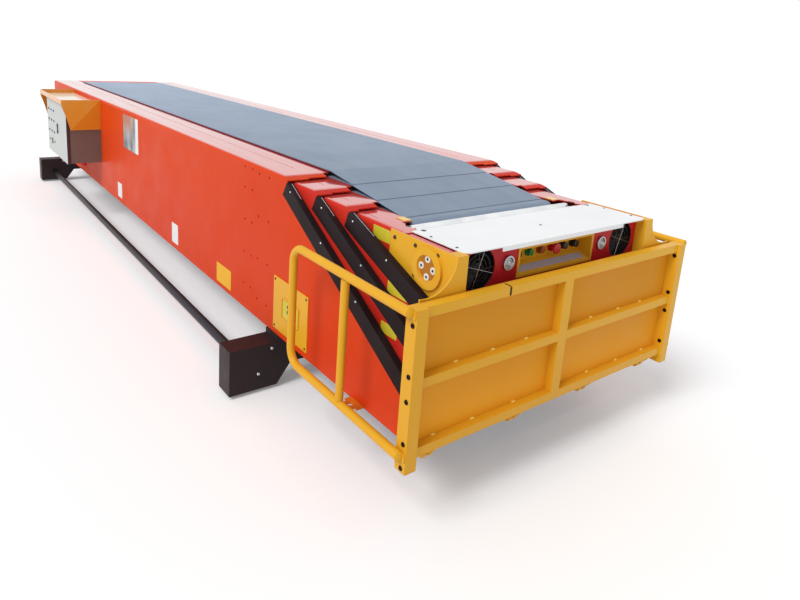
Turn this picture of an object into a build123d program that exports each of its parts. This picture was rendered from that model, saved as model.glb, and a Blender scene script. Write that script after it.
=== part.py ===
from build123d import *
import math
import os

# Telescopic belt conveyor: a base frame on traverse wheels, three booms nested in it, and a
# folded-up operator platform on the tip. Millimetres. +X points to the tip, +Y to the left side,
# +Z up. The origin is at mid length, on the centre plane, on the floor under the wheels.

# Sheet metal and fits
SHEET = 5.0                 # wall of the side plates
COVER_BEND_R = 16.0         # bend between a side plate and its top cover
FOOT_BEND_R = 4.5           # bend between a side plate and its bottom flange
SEAT = 0.3                  # gap of a piece that rests on another body
SLIDE_GAP = 1.0             # gap under a belt's ramp over the next belt
RUNNING_FIT = 0.05          # shaft in its bore, on the radius

# Ends of the closed machine
REAR_X = -3051.0            # rear end of the base
FRONT_X = 3051.0            # front face of the folded platform

# Belt
BELT_HALF_WIDTH = 400.0
BELT_THICK = 4.0
BELT_FEATHER = 1.0          # thickness of a ramp's thin end
BELT_STEP = 27.0            # each boom's belt is this much lower
RAMP_LENGTH = 175.0         # slope from one section to the next
BED_THICK = 3.0
BED_FLANGE = 30.0           # lap of the bed under the covers
RETURN_INSET = 60.0         # the returning belt ends this far inside a section
DRUM_R = 58.0
DRUM_JOURNAL_R = 20.0
DRUM_INSET = 266.0          # tail drum's axis from the base's rear
DRUM_OVERHANG = 4.0         # drums are this much longer than the belt is wide, each side
HEAD_DRUM_R = 28.0
HEAD_JOURNAL_R = 12.0

# Widths, from the belt outwards
COVER_INNER_Y = BELT_HALF_WIDTH + 8.0
TIP_SIDE_ROOM = 132.0       # cover of the last boom, from its inner edge to its outside
TIP_SIDE_STEP = 34.0        # boom 2 is this much wider on each side than boom 3
SECTION_SIDE_STEP = 29.0    # the base over boom 1, and boom 1 over boom 2
TIP_HALF_WIDTH = COVER_INNER_Y + TIP_SIDE_ROOM
BASE_HALF_WIDTH = TIP_HALF_WIDTH + TIP_SIDE_STEP + 2 * SECTION_SIDE_STEP
BOTTOM_FLANGE = 67.0        # width of the bottom flanges

# Traverse wheels and cross beams
WHEEL_R = 95.0
WHEEL_WIDTH = 64.0
WHEEL_FLANGE = 11.0
FLANGE_TAPER = 4.0
WHEEL_GROOVE_DEPTH = 13.0
WHEEL_HEADROOM = 28.0       # over a wheel, inside its box
WHEEL_OUTER_ROOM = 19.0     # beside a wheel, towards the beam's end
WHEEL_INNER_ROOM = 12.0     # beside a wheel, towards the base
SHAFT_R = 22.5
BEAM_WALL = 8.0
BEAM_WIDTH = 113.0
BEAM_OVERHANG = 228.0       # beam's end beyond the base's side plate
BEAM_MID_RISE = 95.0        # the beam's middle is this much higher than its boxes
BEAM_SLOPE = 70.0           # slope from a box to the beam's middle
BOX_BOTTOM_Z = 15.0
BOX_TOP_Z = 2 * WHEEL_R + WHEEL_HEADROOM + BEAM_WALL
BOX_STEP_GAP = 2.0          # box's shoulder beside the base
BLIND_WALL = 3.0            # beam's wall left in front of a blind bore
AXLE_END_GAP = 1.0          # axle's end in its blind bore
FRONT_BEAM_INSET = 1044.0   # front beam's front face from the machine's front
REAR_BEAM_INSET = 408.0     # rear beam's front face from the base's rear
BEAM_HALF_LENGTH = BASE_HALF_WIDTH + BEAM_OVERHANG
WHEEL_Y = BEAM_HALF_LENGTH - BEAM_WALL - WHEEL_OUTER_ROOM - WHEEL_R
BEAM_FRONTS = {"front": FRONT_X - FRONT_BEAM_INSET, "rear": REAR_X + REAR_BEAM_INSET}

# Heights, from the wheels up
BASE_BOTTOM_Z = BOX_TOP_Z + 25.0
BASE_HEIGHT = 733.0         # bottom flange to top cover
BASE_COVER_Z = BASE_BOTTOM_Z + BASE_HEIGHT
COVER_STEP = 21.7           # each boom's covers are this much lower
BASE_BELT_Z = BASE_COVER_Z + 9.0
RUNNER_R = 20.0             # support rollers under the next boom
RUNNER_CLEAR = 3.0          # support roller over the flange below it
RUNNER_HALF = 14.0
RUNNER_PIN_R = 8.0
RUNNER_PIN_END = 6.0        # pin beyond its roller
REAR_ROLLER_R = 50.0        # rollers outside a boom's rear end
REAR_ROLLER_INSET = 90.0
REAR_ROLLER_SIDE = 3.0      # between a rear roller and its own boom
REAR_ROLLER_ROOM = 5.0      # between a rear roller and the section around it
REAR_BOSS_R = 12.0

# Straps across the bottom flanges
STRAP_THICK = 10.0
STRAP_WIDTH = 80.0
STRAP_COUNT = 5
STRAP_REAR_INSET = {"base": 61.0, "boom": 160.0}
STRAP_FRONT_GAP = 100.0     # last strap behind the front support roller

# Tip, from the platform backwards
PLAT_DEPTH = 50.0
PLAT_REAR_X = FRONT_X - PLAT_DEPTH
POST_GAP = 4.0              # between the end frame and the folded platform
POST_SIZE = 45.0
POST_FRONT_X = PLAT_REAR_X - POST_GAP
WALL_X = POST_FRONT_X - POST_SIZE
WALL_THICK = 4.0
WALL_DEPTH = 281.0          # tip's top to the foot of its wall
WALL_FLOOR_RISE = 60.0
TIP_DROP = 63.0             # tip's top below the base's covers
TIP_TOP_Z = BASE_COVER_Z - TIP_DROP
WALL_BOTTOM_Z = TIP_TOP_Z - WALL_DEPTH
DECK_LENGTH = 268.0
DECK_FRONT_X = POST_FRONT_X - 7.0
DECK_REAR_X = DECK_FRONT_X - DECK_LENGTH
DECK_THICK = 4.0
DECK_CORNER_R = 30.0
DECK_HALF_WIDTH = TIP_HALF_WIDTH - 33.0
LIP_HALF_WIDTH = DECK_HALF_WIDTH - 167.0
LIP_DROP = 12.0
CHEEK_THICK = 5.0
CHEEK_LAP = 69.0            # cheek behind the deck's rear edge
CHEEK_REAR_X = DECK_REAR_X - CHEEK_LAP
CHEEK_REAR_DEPTH = 161.0
BOSS_X = POST_FRONT_X - 136.0
BOSS_Z = TIP_TOP_Z - 80.0
BOSS_R = 72.0
BOSS_HEIGHT = 10.0
BOSS_RECESS_R = 45.0
BOSS_RECESS_DEPTH = 7.0
TRANSFER_ROLLER_R = 24.0
TRANSFER_ROLLER_INSET = 88.0
TRANSFER_ROLLER_HALF = TIP_HALF_WIDTH - TRANSFER_ROLLER_INSET
TRANSFER_ROLLER_PITCH = 56.0
ROLLER_JOURNAL_R = 8.0
JOURNAL_END_GAP = 1.0
ROLLER_DECK_GAP = 10.0
ROLLER_DRUM_GAP = 3.0       # between the belt on its head drum and the first roller
SECOND_ROLLER_X = DECK_REAR_X - ROLLER_DECK_GAP - TRANSFER_ROLLER_R
FIRST_ROLLER_X = SECOND_ROLLER_X - TRANSFER_ROLLER_PITCH
HEAD_WRAP_R = HEAD_DRUM_R + SEAT + BELT_THICK
HEAD_DRUM_X = FIRST_ROLLER_X - TRANSFER_ROLLER_R - ROLLER_DRUM_GAP - HEAD_WRAP_R
ROLLER_BAY_GAP = 8.0        # cover's cut-out behind the first transfer roller
ROLLER_END_GAP = 5.0        # cover's cut-out beside the rollers' ends
BITE_LEAD = 22.0            # oval bites in the cut-out's edge, ahead of each roller's axis
BITE_HALF_LENGTH = 26.0
BITE_HALF_WIDTH = 16.0
LAST_RAMP_INSET = 32.0      # end of the last ramp behind the head drum
FIRST_RAMP_X = HEAD_DRUM_X - LAST_RAMP_INSET - 3 * RAMP_LENGTH
END_PLATE_THICK = 3.0       # small plates beside the belt's end
END_PLATE_LENGTH = 50.0
END_PLATE_WIDTH = 32.0
TRAY_REAR_GAP = 2.0         # tray's rear wall ahead of the deck's rear edge

# Sections, the base first: the slanted nose of the side plates, and the rear end
NOSE_FOOT_X = WALL_X - 5.0
SECTIONS = (
    # nose's start x, its drop below the cover, foot x, foot z, rear x, seam's end behind the start
    (DECK_REAR_X - 672.0, 24.0, NOSE_FOOT_X, BASE_BOTTOM_Z + 191.0, REAR_X, 165.0),
    (DECK_REAR_X - 482.0, 20.0, NOSE_FOOT_X, BASE_BOTTOM_Z + 331.0, REAR_X + 401.0, 100.0),
    (DECK_REAR_X - 292.0, 18.0, NOSE_FOOT_X, BASE_BOTTOM_Z + 468.0, REAR_X + 491.0, 105.0),
    (DECK_REAR_X, 18.9, WALL_X, WALL_BOTTOM_Z, REAR_X + 581.0, 204.0),
)
NOSING_WIDTH = 62.0         # black strip along a slanted edge
NOSING_THICK = 3.0
NOSING_RETURN = 28.0        # the strip's front leg, across the edge
COVER_LIP = 45.0            # length of a cover's bent-down front edge
COVER_LIP_CLEAR = 5.0       # bent edge over the next boom's cover
COVER_LIP_DROP = COVER_STEP - SHEET - COVER_LIP_CLEAR
LIP_INSET = 26.0            # bent edge starts this far outside the cover's inner edge
LIP_NOTCH_WIDTH = 120.0     # stepped-back part of the bent edge, from the cover's inner edge
LIP_NOTCH_DEPTH = 9.0
SEAM_INSET = 97.0           # lapped seam of a cover from its inner edge
SEAM_WIDTH = 3.0
SEAM_DEPTH = 1.5
RUNNER_PLACES = (NOSE_FOOT_X - 467.0, NOSE_FOOT_X - 67.0)

# Holes in the base's side plates: columns of drillings behind the nose
SIDE_HOLE_R = 5.5
SIDE_HOLE_COLUMNS = (
    # distance behind the nose's start, heights over the base's underside
    (407.0, (130.0, 289.0, 451.0, 607.0, 706.0)),
    (330.0, (130.0, 289.0, 451.0, 607.0, 706.0)),
    (260.0, (100.0, 298.0, 500.0, 698.0)),
    (162.0, (100.0, 298.0, 500.0, 698.0)),
)

# Control cabinet on the right side
CAB_REAR_INSET = 1120.0     # cabinet behind the base's rear end
CAB_LENGTH = 808.0
CAB_DEPTH = 233.0
CAB_HEIGHT = 464.0
CAB_RISE = 215.0            # cabinet's floor over the base's underside
CAB_WALL = 3.0
CAB_REAR_X = REAR_X + CAB_REAR_INSET
CAB_FRONT_X = CAB_REAR_X + CAB_LENGTH
CAB_OUTER_Y = -(BASE_HALF_WIDTH + CAB_DEPTH)
CAB_BOTTOM_Z = BASE_BOTTOM_Z + CAB_RISE
CAB_TOP_Z = CAB_BOTTOM_Z + CAB_HEIGHT
DOOR_THICK = 24.0
DOOR_GAP = 1.0
DOOR_SHEET = 3.0
DOOR_SIDE_GAP = 2.0
DOOR_TOP_LAP = 5.0
DOOR_BOTTOM_LAP = 4.0
DOOR_OUTER_Y = CAB_OUTER_Y - DOOR_GAP - DOOR_THICK
DOOR_HINGE_X = CAB_REAR_X - 8.0
DOOR_HINGE_Y = DOOR_OUTER_Y + DOOR_THICK / 2
DOOR_HINGE_HEIGHTS = (CAB_BOTTOM_Z + 54.0, CAB_BOTTOM_Z + 234.0)
DOOR_PIN_R = 4.0
PIN_TOP = 20.0
DOOR_BARREL_R = 8.0
BARREL_LOW = 13.0
BARREL_HIGH = 18.0
LEAF_LOW = 24.0
LEAF_THICK = 10.0
LEAF_HALF = 4.0
LEAF_LAP = 20.0
WING_HALF = 3.0
HANDLE_X = CAB_FRONT_X - 345.0
HANDLE_HALF_WIDTH = 9.0
HANDLE_FOOT_WIDTH = 5.0
HANDLE_THICK = 5.0
HANDLE_STANDOFF = 4.0
HANDLE_BOTTOM_Z = CAB_BOTTOM_Z + 196.0
HANDLE_LENGTH = 83.0
HANDLE_FOOT_HEIGHT = 10.0
HANDLE_FOOT_INSET = 10.0
HOOD_SHEET = 4.0
HOOD_REAR_X = CAB_REAR_X - 153.0
HOOD_FRONT_X = CAB_FRONT_X + 23.0
HOOD_BOTTOM_Z = CAB_TOP_Z - 192.0
HOOD_TOP_Z = CAB_TOP_Z + 47.0
HOOD_OUTER_Y = CAB_OUTER_Y - 55.0
HOOD_LEAN = 14.0            # the cheeks' outer upper corners lean in by this
HOOD_LOW_LEAN = 18.0        # and their inner lower corners by this
HOOD_FLOOR_Z = CAB_TOP_Z + 14.0
HOOD_CHEEK_EDGE = (
    # the cheek's outer edge, from its foot up: y inside the rim, height over the foot
    (58.0, 0.0),
    (33.0, 97.0),
    (4.0, 184.0),
)
SIGNAL_R = 25.0
SIGNAL_NECK = 9.0
SIGNAL_INSET_X = 27.0
SIGNAL_INSET_Y = 95.0

# Access cover on the right side
ACCESS_REAR_GAP = 85.0      # behind the nose's start
ACCESS_LENGTH = 298.0
ACCESS_RISE = 33.0
ACCESS_HEIGHT = 246.0
ACCESS_THICK = 4.0
DISH_SIDE = 81.0            # dish's rear edge inside the cover's
DISH_LENGTH = 149.0
DISH_RISE = 73.0
DISH_HEIGHT = 99.0
DISH_RIM = 6.0
DISH_BAR = 11.0             # latch bar along the dish's front rim
DISH_DEPTH = 5.0
DISH_FLOOR = 1.0
DISH_CORNER_R = 12.0

# Tip furniture
FAN_R = 75.0
FAN_FRAME = 4.0
FAN_SIDE_INSET = 139.0
FAN_DEPTH = 44.0
FAN_HUB_R = 21.0
FAN_PIN_R = 3.0
FAN_PIN_LENGTH = 30.0
FAN_MOTOR_DEPTH = 12.0
FAN_SPIDER = 7.0
FAN_SPIDER_THICK = 4.0
FAN_BLADES = 7
FAN_BLADE_THICK = 2.5
FAN_BLADE_CHORD = 24.0
FAN_BLADE_PITCH = 38.0
FAN_TIP_GAP = 7.0
FAN_ROOT = 4.0
FAN_HUB_REAR = 10.0
FAN_HUB_FRONT = 8.0
FAN_BORE_END = 6.0
FAN_ROTOR_PLACE = 25.0
FAN_Y = TIP_HALF_WIDTH - FAN_SIDE_INSET
FAN_Z = TIP_TOP_Z - 81.0
GUARD_WIRE = 2.4
GUARD_RING_RADII = (22.0, 40.0, 58.0)
LAMP_R = 26.0
LAMP_RIM = 5.0
LAMP_DEPTH = 9.0
LAMP_DISH_FLOOR = 3.0
LAMP_LENS_R = 9.0
LAMP_LENS_FRONT = 6.0
LAMP_Y = FAN_Y - 137.0
LAMP_Z = TIP_TOP_Z - 75.0
BUTTON_BOX_HALF_WIDTH = LAMP_Y - LAMP_R - 24.0
BUTTON_BOX_HEIGHT = 112.0
BUTTON_BOX_TOP_Z = TIP_TOP_Z - 28.0
BUTTON_BOX_BOTTOM_Z = BUTTON_BOX_TOP_Z - BUTTON_BOX_HEIGHT
BUTTON_BOX_DEPTH = 60.0
BUTTON_RIM = 10.0
BUTTON_RIM_THICK = 3.0
BUTTON_TUB_INSET = 8.0
BUTTON_TUB_WALL = 3.0
BUTTON_BACK_THICK = 4.0
BUTTON_STRIP_RISE = 27.0
BUTTON_STRIP_FRONT = 8.0
BUTTON_WALL_LAP = 2.0       # wall's cut-out is this much larger than the tub
BUTTON_Z = TIP_TOP_Z - 75.0
BUTTON_PITCH = 64.0
BUTTON_COLLAR_R = 17.0
BUTTON_STEM_R = 10.0
BUTTON_HEAD_THICK = 8.0
BUTTONS = (
    # place across the box in pitches, radius of the head, reach out of the back
    (-2.5, 12.0, 20.0),
    (-1.5, 12.0, 20.0),
    (-0.5, 12.0, 20.0),
    (0.5, 20.0, 34.0),
    (1.5, 14.0, 24.0),
    (2.5, 14.0, 24.0),
)

# Operator platform
PLAT_OVERHANG = 110.0       # platform's side beyond the base's
PLAT_HALF_WIDTH = BASE_HALF_WIDTH + PLAT_OVERHANG
PLAT_DROP = 118.0           # platform's upper edge below the tip's top
PLAT_HEIGHT = 543.0
PLAT_TOP_Z = TIP_TOP_Z - PLAT_DROP
PLAT_BOTTOM_Z = PLAT_TOP_Z - PLAT_HEIGHT
PLAT_PANEL_THICK = 6.0
PLAT_PANEL_FRONT_X = PLAT_REAR_X + 8.0
PLAT_PANEL_RISE = 25.0
RIB_DEPTH = 32.0
RIB_FRONT_X = PLAT_PANEL_FRONT_X + RIB_DEPTH
RIB_HEIGHT = 33.0
RIB_HALF_WIDTH = 24.0
RIB_WALL = 3.0
RIB_RISES = (39.0, 278.0)   # lower and middle rail over the platform's underside
RIB_Y = -22.0               # middle of the upright rib
SLOT_Y = -335.0             # latch slot in the upper rail
SLOT_HALF_WIDTH = 5.0
HINGE_X = POST_FRONT_X - 3.0
HINGE_Z = PLAT_BOTTOM_Z + 2.0
HINGE_PIN_R = 8.0
EYE_R = 13.0
EAR_R = 15.0
EAR_THICK = 12.0
EAR_GAP = 8.0               # middle of a tab to its ears
EAR_ROOT_LAP = 4.0
EAR_ROOT_DROP = 7.0
TAB_HALF = 6.0
TAB_TOP_RISE = 40.0
TAB_ROOT_RISE = 23.0
TAB_EDGE = 4.0
CROSSBAR_FRONT_X = POST_FRONT_X - 22.0
CROSSBAR_DEPTH = 23.0
CROSSBAR_BOTTOM_Z = PLAT_BOTTOM_Z - 5.0
CROSSBAR_HEIGHT = 44.0
CROSSBAR_HALF = TIP_HALF_WIDTH + 100.0
OUTER_TAB_Y = CROSSBAR_HALF - 30.0
HINGE_TAB_PLACES = (-OUTER_TAB_Y, -OUTER_TAB_Y / 3, OUTER_TAB_Y / 3, OUTER_TAB_Y)
GUSSET_INSET = 52.0
GUSSET_OUTER_Y = PLAT_HALF_WIDTH - GUSSET_INSET
GUSSET_THICK = 6.0
GUSSET_HEAD_DROP = 8.0
GUSSET_FOOT_RISE = 6.0
GUSSET_LAP = 24.0
GUSSET_MIDDLE = (38.0, 34.0)  # its hollow edge's middle, from the post and over the platform
RAIL_TUBE_R = 16.0
RAIL_WALL = 2.5
RAIL_BEND_R = 62.0
RAIL_TOP_Z = PLAT_TOP_Z - 6.0
RAIL_LOW_Z = PLAT_BOTTOM_Z + 66.0
RAIL_REAR_X = PLAT_REAR_X - 651.0
RAIL_MID_X = PLAT_REAR_X - 302.0
RAIL_FRONT_INSET = 36.0
RAIL_LUG_THICK = 4.0
RAIL_LUG_LOW = 24.0
RAIL_LUG_HIGH = 6.0
RAIL_LUG_INSET = 2.0
RAIL_LUG_LENGTH = 44.0
RAIL_MID_STEP = 1.0         # middle tube is this much thinner, on the radius

# Rear end plate, drive unit and tie lugs
INFEED_HOLE_R = 7.0
INFEED_HOLE_INSET_Y = 72.0
INFEED_HOLE_LOW = 89.0
INFEED_HOLE_HIGH = 84.0
REAR_PLATE_MARGIN = 16.0
REAR_COVER_GAP = 15.0       # rear cover's edge behind the belt's wrap
REAR_COVER_SIDE_GAP = 1.0
DRIVE_UNIT_INSET = 21.0     # gearmotor's rear face from the base's rear
DRIVE_UNIT_LENGTH = 160.0
DRIVE_UNIT_HALF_WIDTH = 210.0
DRIVE_UNIT_HEIGHT = 300.0
LUG_INSET = 312.0           # tie lug behind the nose's foot
LUG_HALF_LENGTH = 40.0
LUG_REACH = 30.0
LUG_R = 26.0
LUG_THICK = 8.0
LUG_RISE = 2.0
LUG_HOLE_R = 11.0
LUG_HOLE_REACH = 32.0

SECTION_NAMES = ("base", "boom_1", "boom_2", "boom_3")
TAIL_DRUM_X = REAR_X + DRUM_INSET
BELT_BEND_R = DRUM_R + SEAT + BELT_THICK / 2
REAR_COVER_FRONT_X = TAIL_DRUM_X - BELT_BEND_R - BELT_THICK / 2 - REAR_COVER_GAP
CUT = 1.0                   # how far a cutting tool passes a face


def block(x_range, y_range, z_range):
    """A rectangular block between two places on each axis."""
    size = [high - low for low, high in (x_range, y_range, z_range)]
    middle = [(high + low) / 2 for low, high in (x_range, y_range, z_range)]
    return Pos(*middle) * Box(*size)


def plate_y(points, y_low, y_high):
    """A plate with its outline in x and z, between two y places."""
    face = Plane.XZ * make_face(Polyline(*points, close=True))
    return extrude(Pos(0, y_low, 0) * face, amount=y_high - y_low, dir=(0, 1, 0))


def plate_x(points, x_low, x_high):
    """A plate with its outline in y and z, between two x places."""
    face = Plane.YZ * make_face(Polyline(*points, close=True))
    return extrude(Pos(x_low, 0, 0) * face, amount=x_high - x_low, dir=(1, 0, 0))


def rod(start, end, radius):
    """A round bar between two points."""
    axis = Vector(*end) - Vector(*start)
    return Plane(origin=start, z_dir=axis) * Cylinder(
        radius, axis.length, align=(Align.CENTER, Align.CENTER, Align.MIN)
    )


def span(side, inner, outer):
    """A y range on one side, from its distances to the centre plane."""
    return sorted((side * inner, side * outer))


def mirrored_pair(solid):
    """A piece on the right side and its mirror image on the left."""
    return [solid, mirror(solid, about=Plane.XZ)]


def save(name, pieces):
    """Write one sub-part."""
    solids = []
    for piece in pieces if isinstance(pieces, list) else [pieces]:
        solids.extend(piece.solids())
    shape = solids[0] if len(solids) == 1 else Compound(children=solids)
    export_step(shape, os.path.join("parts", name + ".step"))


def half_width(section):
    """Outside of a section's side plates."""
    if section == 3:
        return TIP_HALF_WIDTH
    return BASE_HALF_WIDTH - SECTION_SIDE_STEP * section


def cover_z(section):
    return BASE_COVER_Z - COVER_STEP * section


def belt_z(section):
    return BASE_BELT_Z - BELT_STEP * section


def bottom_z(section):
    """Underside of a section's bottom flanges, carried by the support rollers below it."""
    step = SHEET + RUNNER_CLEAR + 2 * RUNNER_R + SEAT
    return BASE_BOTTOM_Z + step * section


def ramp_x(section):
    return FIRST_RAMP_X + RAMP_LENGTH * section


def nose_line(section):
    """Start and foot of the slanted edge."""
    start_x, drop, foot_x, foot_z, _, _ = SECTIONS[section]
    return (start_x, cover_z(section) - drop), (foot_x, foot_z)


def side_plates(section):
    """Bent side plate of a section, with top cover, seam, bottom flange and a slanted nose."""
    start_x, _, foot_x, _, rear_x, seam_gap = SECTIONS[section]
    outer = half_width(section) - SHEET / 2
    top = cover_z(section) - SHEET / 2
    low = bottom_z(section) + SHEET / 2
    line = FilletPolyline(
        (-COVER_INNER_Y, top),
        (-outer, top),
        (-outer, low),
        (-half_width(section) + BOTTOM_FLANGE, low),
        radius=[COVER_BEND_R, FOOT_BEND_R],
    )
    profile = Plane.YZ * trace(line, line_width=SHEET)
    plate = extrude(Pos(rear_x, 0, 0) * profile, amount=foot_x - rear_x, dir=(1, 0, 0))
    start, foot = nose_line(section)
    above = cover_z(section) + CUT
    cut = [(start_x, above), start, foot, (foot_x + CUT, foot[1]), (foot_x + CUT, above)]
    plate -= plate_y(cut, -half_width(section) - CUT, 0)
    seam_y = COVER_INNER_Y + SEAM_INSET
    return plate - block(
        (rear_x - CUT, start_x - seam_gap),
        span(-1, seam_y - SEAM_WIDTH / 2, seam_y + SEAM_WIDTH / 2),
        (cover_z(section) - SEAM_DEPTH, above),
    )


def lipped_side_plates(section):
    """A side plate whose cover is bent down at its front, over the next boom's cover."""
    front_x = SECTIONS[section][0]
    rear_x = front_x - COVER_LIP
    top = cover_z(section)
    low = top - COVER_LIP_DROP
    above = top + CUT
    outer = half_width(section)
    wedge = [(rear_x, above), (rear_x, top), (front_x, low), (front_x + CUT, low), (front_x + CUT, above)]
    plate = side_plates(section) - plate_y(wedge, -outer - CUT, 0)
    plate -= block((rear_x, front_x + CUT), span(-1, 0, COVER_INNER_Y + LIP_INSET), (low - SHEET, above))
    lip = plate_y(
        [(rear_x, top), (front_x, low), (front_x, low - SHEET), (rear_x, top - SHEET)],
        -outer,
        -COVER_INNER_Y - LIP_INSET,
    )
    lip -= block(
        (front_x - LIP_NOTCH_DEPTH, front_x + CUT),
        span(-1, 0, COVER_INNER_Y + LIP_NOTCH_WIDTH),
        (low - SHEET - CUT, above),
    )
    foot = top - 2 * COVER_BEND_R - COVER_LIP_DROP
    corner = FilletPolyline((0, top), (-outer, top), (-outer, foot), radius=COVER_BEND_R + SHEET / 2)
    face = Plane.YZ * make_face(corner + Polyline((-outer, foot), (0, foot), (0, top)))
    return plate + (lip & extrude(Pos(rear_x, 0, 0) * face, amount=COVER_LIP, dir=(1, 0, 0)))


def base_side_plates():
    """The base's side plate with its columns of drillings."""
    plate = lipped_side_plates(0)
    outer = BASE_HALF_WIDTH
    for gap, rises in SIDE_HOLE_COLUMNS:
        x = SECTIONS[0][0] - gap
        for rise in rises:
            z = BASE_BOTTOM_Z + rise
            plate -= rod((x, -outer - CUT, z), (x, -outer + SHEET + CUT, z), SIDE_HOLE_R)
    return plate


def nosings(section):
    """Black strip along a slanted nose: a leg on the side plate and a leg across its edge."""
    start, foot = nose_line(section)
    length = math.hypot(foot[0] - start[0], foot[1] - start[1])
    back = ((foot[1] - start[1]) / length, (start[0] - foot[0]) / length)
    outer = half_width(section) + NOSING_THICK

    def shifted(point, amount):
        return (point[0] + back[0] * amount, point[1] + back[1] * amount)

    side_leg = plate_y(
        [start, foot, shifted(foot, NOSING_WIDTH), shifted(start, NOSING_WIDTH)],
        -outer,
        -half_width(section),
    )
    front_leg = plate_y(
        [start, foot, shifted(foot, -NOSING_THICK), shifted(start, -NOSING_THICK)],
        -outer,
        -outer + NOSING_RETURN,
    )
    return side_leg + front_leg


def belt_bed(section):
    """Slider bed: a plate under the belt, joggled at its sides to lap under the covers."""
    rear_x = SECTIONS[section][4] if section else TAIL_DRUM_X + DRUM_R
    front_x = min(ramp_x(section), SECTIONS[section][0] - COVER_LIP - CUT)
    bed_top = belt_z(section) - BELT_THICK
    lap_top = cover_z(section) - SHEET
    edge = BELT_HALF_WIDTH + BED_THICK
    lap = COVER_INNER_Y + BED_FLANGE
    leg_low = min(bed_top, lap_top) - BED_THICK
    leg_high = max(bed_top, lap_top)
    bed = block((rear_x, front_x), (-edge, edge), (bed_top - BED_THICK, bed_top))
    for side in (-1, 1):
        bed += block((rear_x, front_x), span(side, BELT_HALF_WIDTH, edge), (leg_low, leg_high))
        flange_z = (lap_top - BED_THICK, lap_top)
        bed += block((rear_x, front_x), span(side, BELT_HALF_WIDTH, lap), flange_z)
    return bed


def straps(section):
    """Flat straps across a section's bottom flanges, which carry the returning belt."""
    low = bottom_z(section) + SHEET
    reach = half_width(section) - SECTION_SIDE_STEP - SHEET
    first = SECTIONS[section][4] + STRAP_REAR_INSET["boom" if section else "base"]
    last = RUNNER_PLACES[1] - STRAP_FRONT_GAP - STRAP_WIDTH
    pitch = (last - first) / (STRAP_COUNT - 1)
    places = [first + pitch * number for number in range(STRAP_COUNT)]
    return [
        block((x, x + STRAP_WIDTH), (-reach, reach), (low, low + STRAP_THICK))
        for x in places
    ]


def return_belt_z(section):
    """Middle of the returning belt's thickness."""
    return bottom_z(section) + SHEET + STRAP_THICK + BELT_THICK / 2


def belt_strip(points, radius):
    """A belt bent along points in x and z, at the belt's full width."""
    line = FilletPolyline(*points, radius=radius) if radius else Polyline(*points)
    face = Plane.XZ * trace(line, line_width=BELT_THICK)
    start = Pos(0, -BELT_HALF_WIDTH, 0)
    return extrude(start * face, amount=2 * BELT_HALF_WIDTH, dir=(0, 1, 0))


def ramp(section):
    """The belt's slope down to just over the next section's belt, thinned to its end."""
    top = belt_z(section)
    low = belt_z(section + 1) + SLIDE_GAP
    x0 = ramp_x(section)
    x1 = ramp_x(section + 1)
    points = [(x0, top), (x1, low + BELT_FEATHER), (x1, low), (x0, top - BELT_THICK)]
    return plate_y(points, -BELT_HALF_WIDTH, BELT_HALF_WIDTH)


def nose_runners(section):
    """Support rollers on pins in a section's nose, under the next boom's bottom flanges."""
    z = bottom_z(section + 1) - SEAT - RUNNER_R
    wall = half_width(section) - SHEET
    middle = half_width(section + 1) - BOTTOM_FLANGE / 2
    pin_end = middle - RUNNER_HALF - RUNNER_PIN_END
    pieces = []
    for x in RUNNER_PLACES:
        roller = rod((x, -middle - RUNNER_HALF, z), (x, -middle + RUNNER_HALF, z), RUNNER_R)
        pin = rod((x, -wall, z), (x, -pin_end, z), RUNNER_PIN_R)
        pieces.extend(mirrored_pair(roller + pin))
    return pieces


def rear_rollers(section):
    """Large rollers outside a boom's rear end, which run on the outer section's flanges."""
    z = bottom_z(section - 1) + SHEET + SEAT + REAR_ROLLER_R
    x = SECTIONS[section][4] + REAR_ROLLER_INSET
    wall = half_width(section)
    inner = wall + REAR_ROLLER_SIDE
    outer = half_width(section - 1) - SHEET - REAR_ROLLER_ROOM
    roller = rod((x, -outer, z), (x, -inner, z), REAR_ROLLER_R)
    return mirrored_pair(roller + rod((x, -inner, z), (x, -wall, z), REAR_BOSS_R))


def base_belt():
    """The base's belt: top run, ramp, rear wrap and the return run along the bottom."""
    top = belt_z(0) - BELT_THICK / 2
    low = return_belt_z(0)
    rear = TAIL_DRUM_X - BELT_BEND_R
    front = SECTIONS[0][2] - RETURN_INSET
    points = [(ramp_x(0), top), (rear, top), (rear, low), (front, low)]
    return belt_strip(points, BELT_BEND_R) + ramp(0)


def boom_belt(section):
    """A boom's belt: top run with its ramp, and the return run."""
    top = belt_z(section) - BELT_THICK / 2
    low = return_belt_z(section)
    rear = SECTIONS[section][4]
    front = SECTIONS[section][2] - RETURN_INSET
    top_run = belt_strip([(rear, top), (ramp_x(section), top)], None)
    return_run = belt_strip([(rear + RETURN_INSET, low), (front, low)], None)
    return [top_run + ramp(section), return_run]


def tip_belt():
    """The last boom's belt, which turns round the head drum and runs back under the bed."""
    bend = HEAD_DRUM_R + SEAT + BELT_THICK / 2
    top = belt_z(3) - BELT_THICK / 2
    low = top - 2 * bend
    front = HEAD_DRUM_X + bend
    rear = SECTIONS[3][4]
    return belt_strip([(rear, top), (front, top), (front, low), (rear, low)], bend - RUNNING_FIT)


def drum(x, z, radius, journal_radius, wall):
    """A belt drum across the machine with its journals in two side plates."""
    half = BELT_HALF_WIDTH + DRUM_OVERHANG
    shell = rod((x, -half, z), (x, half, z), radius)
    return shell + rod((x, -wall, z), (x, wall, z), journal_radius)


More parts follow.
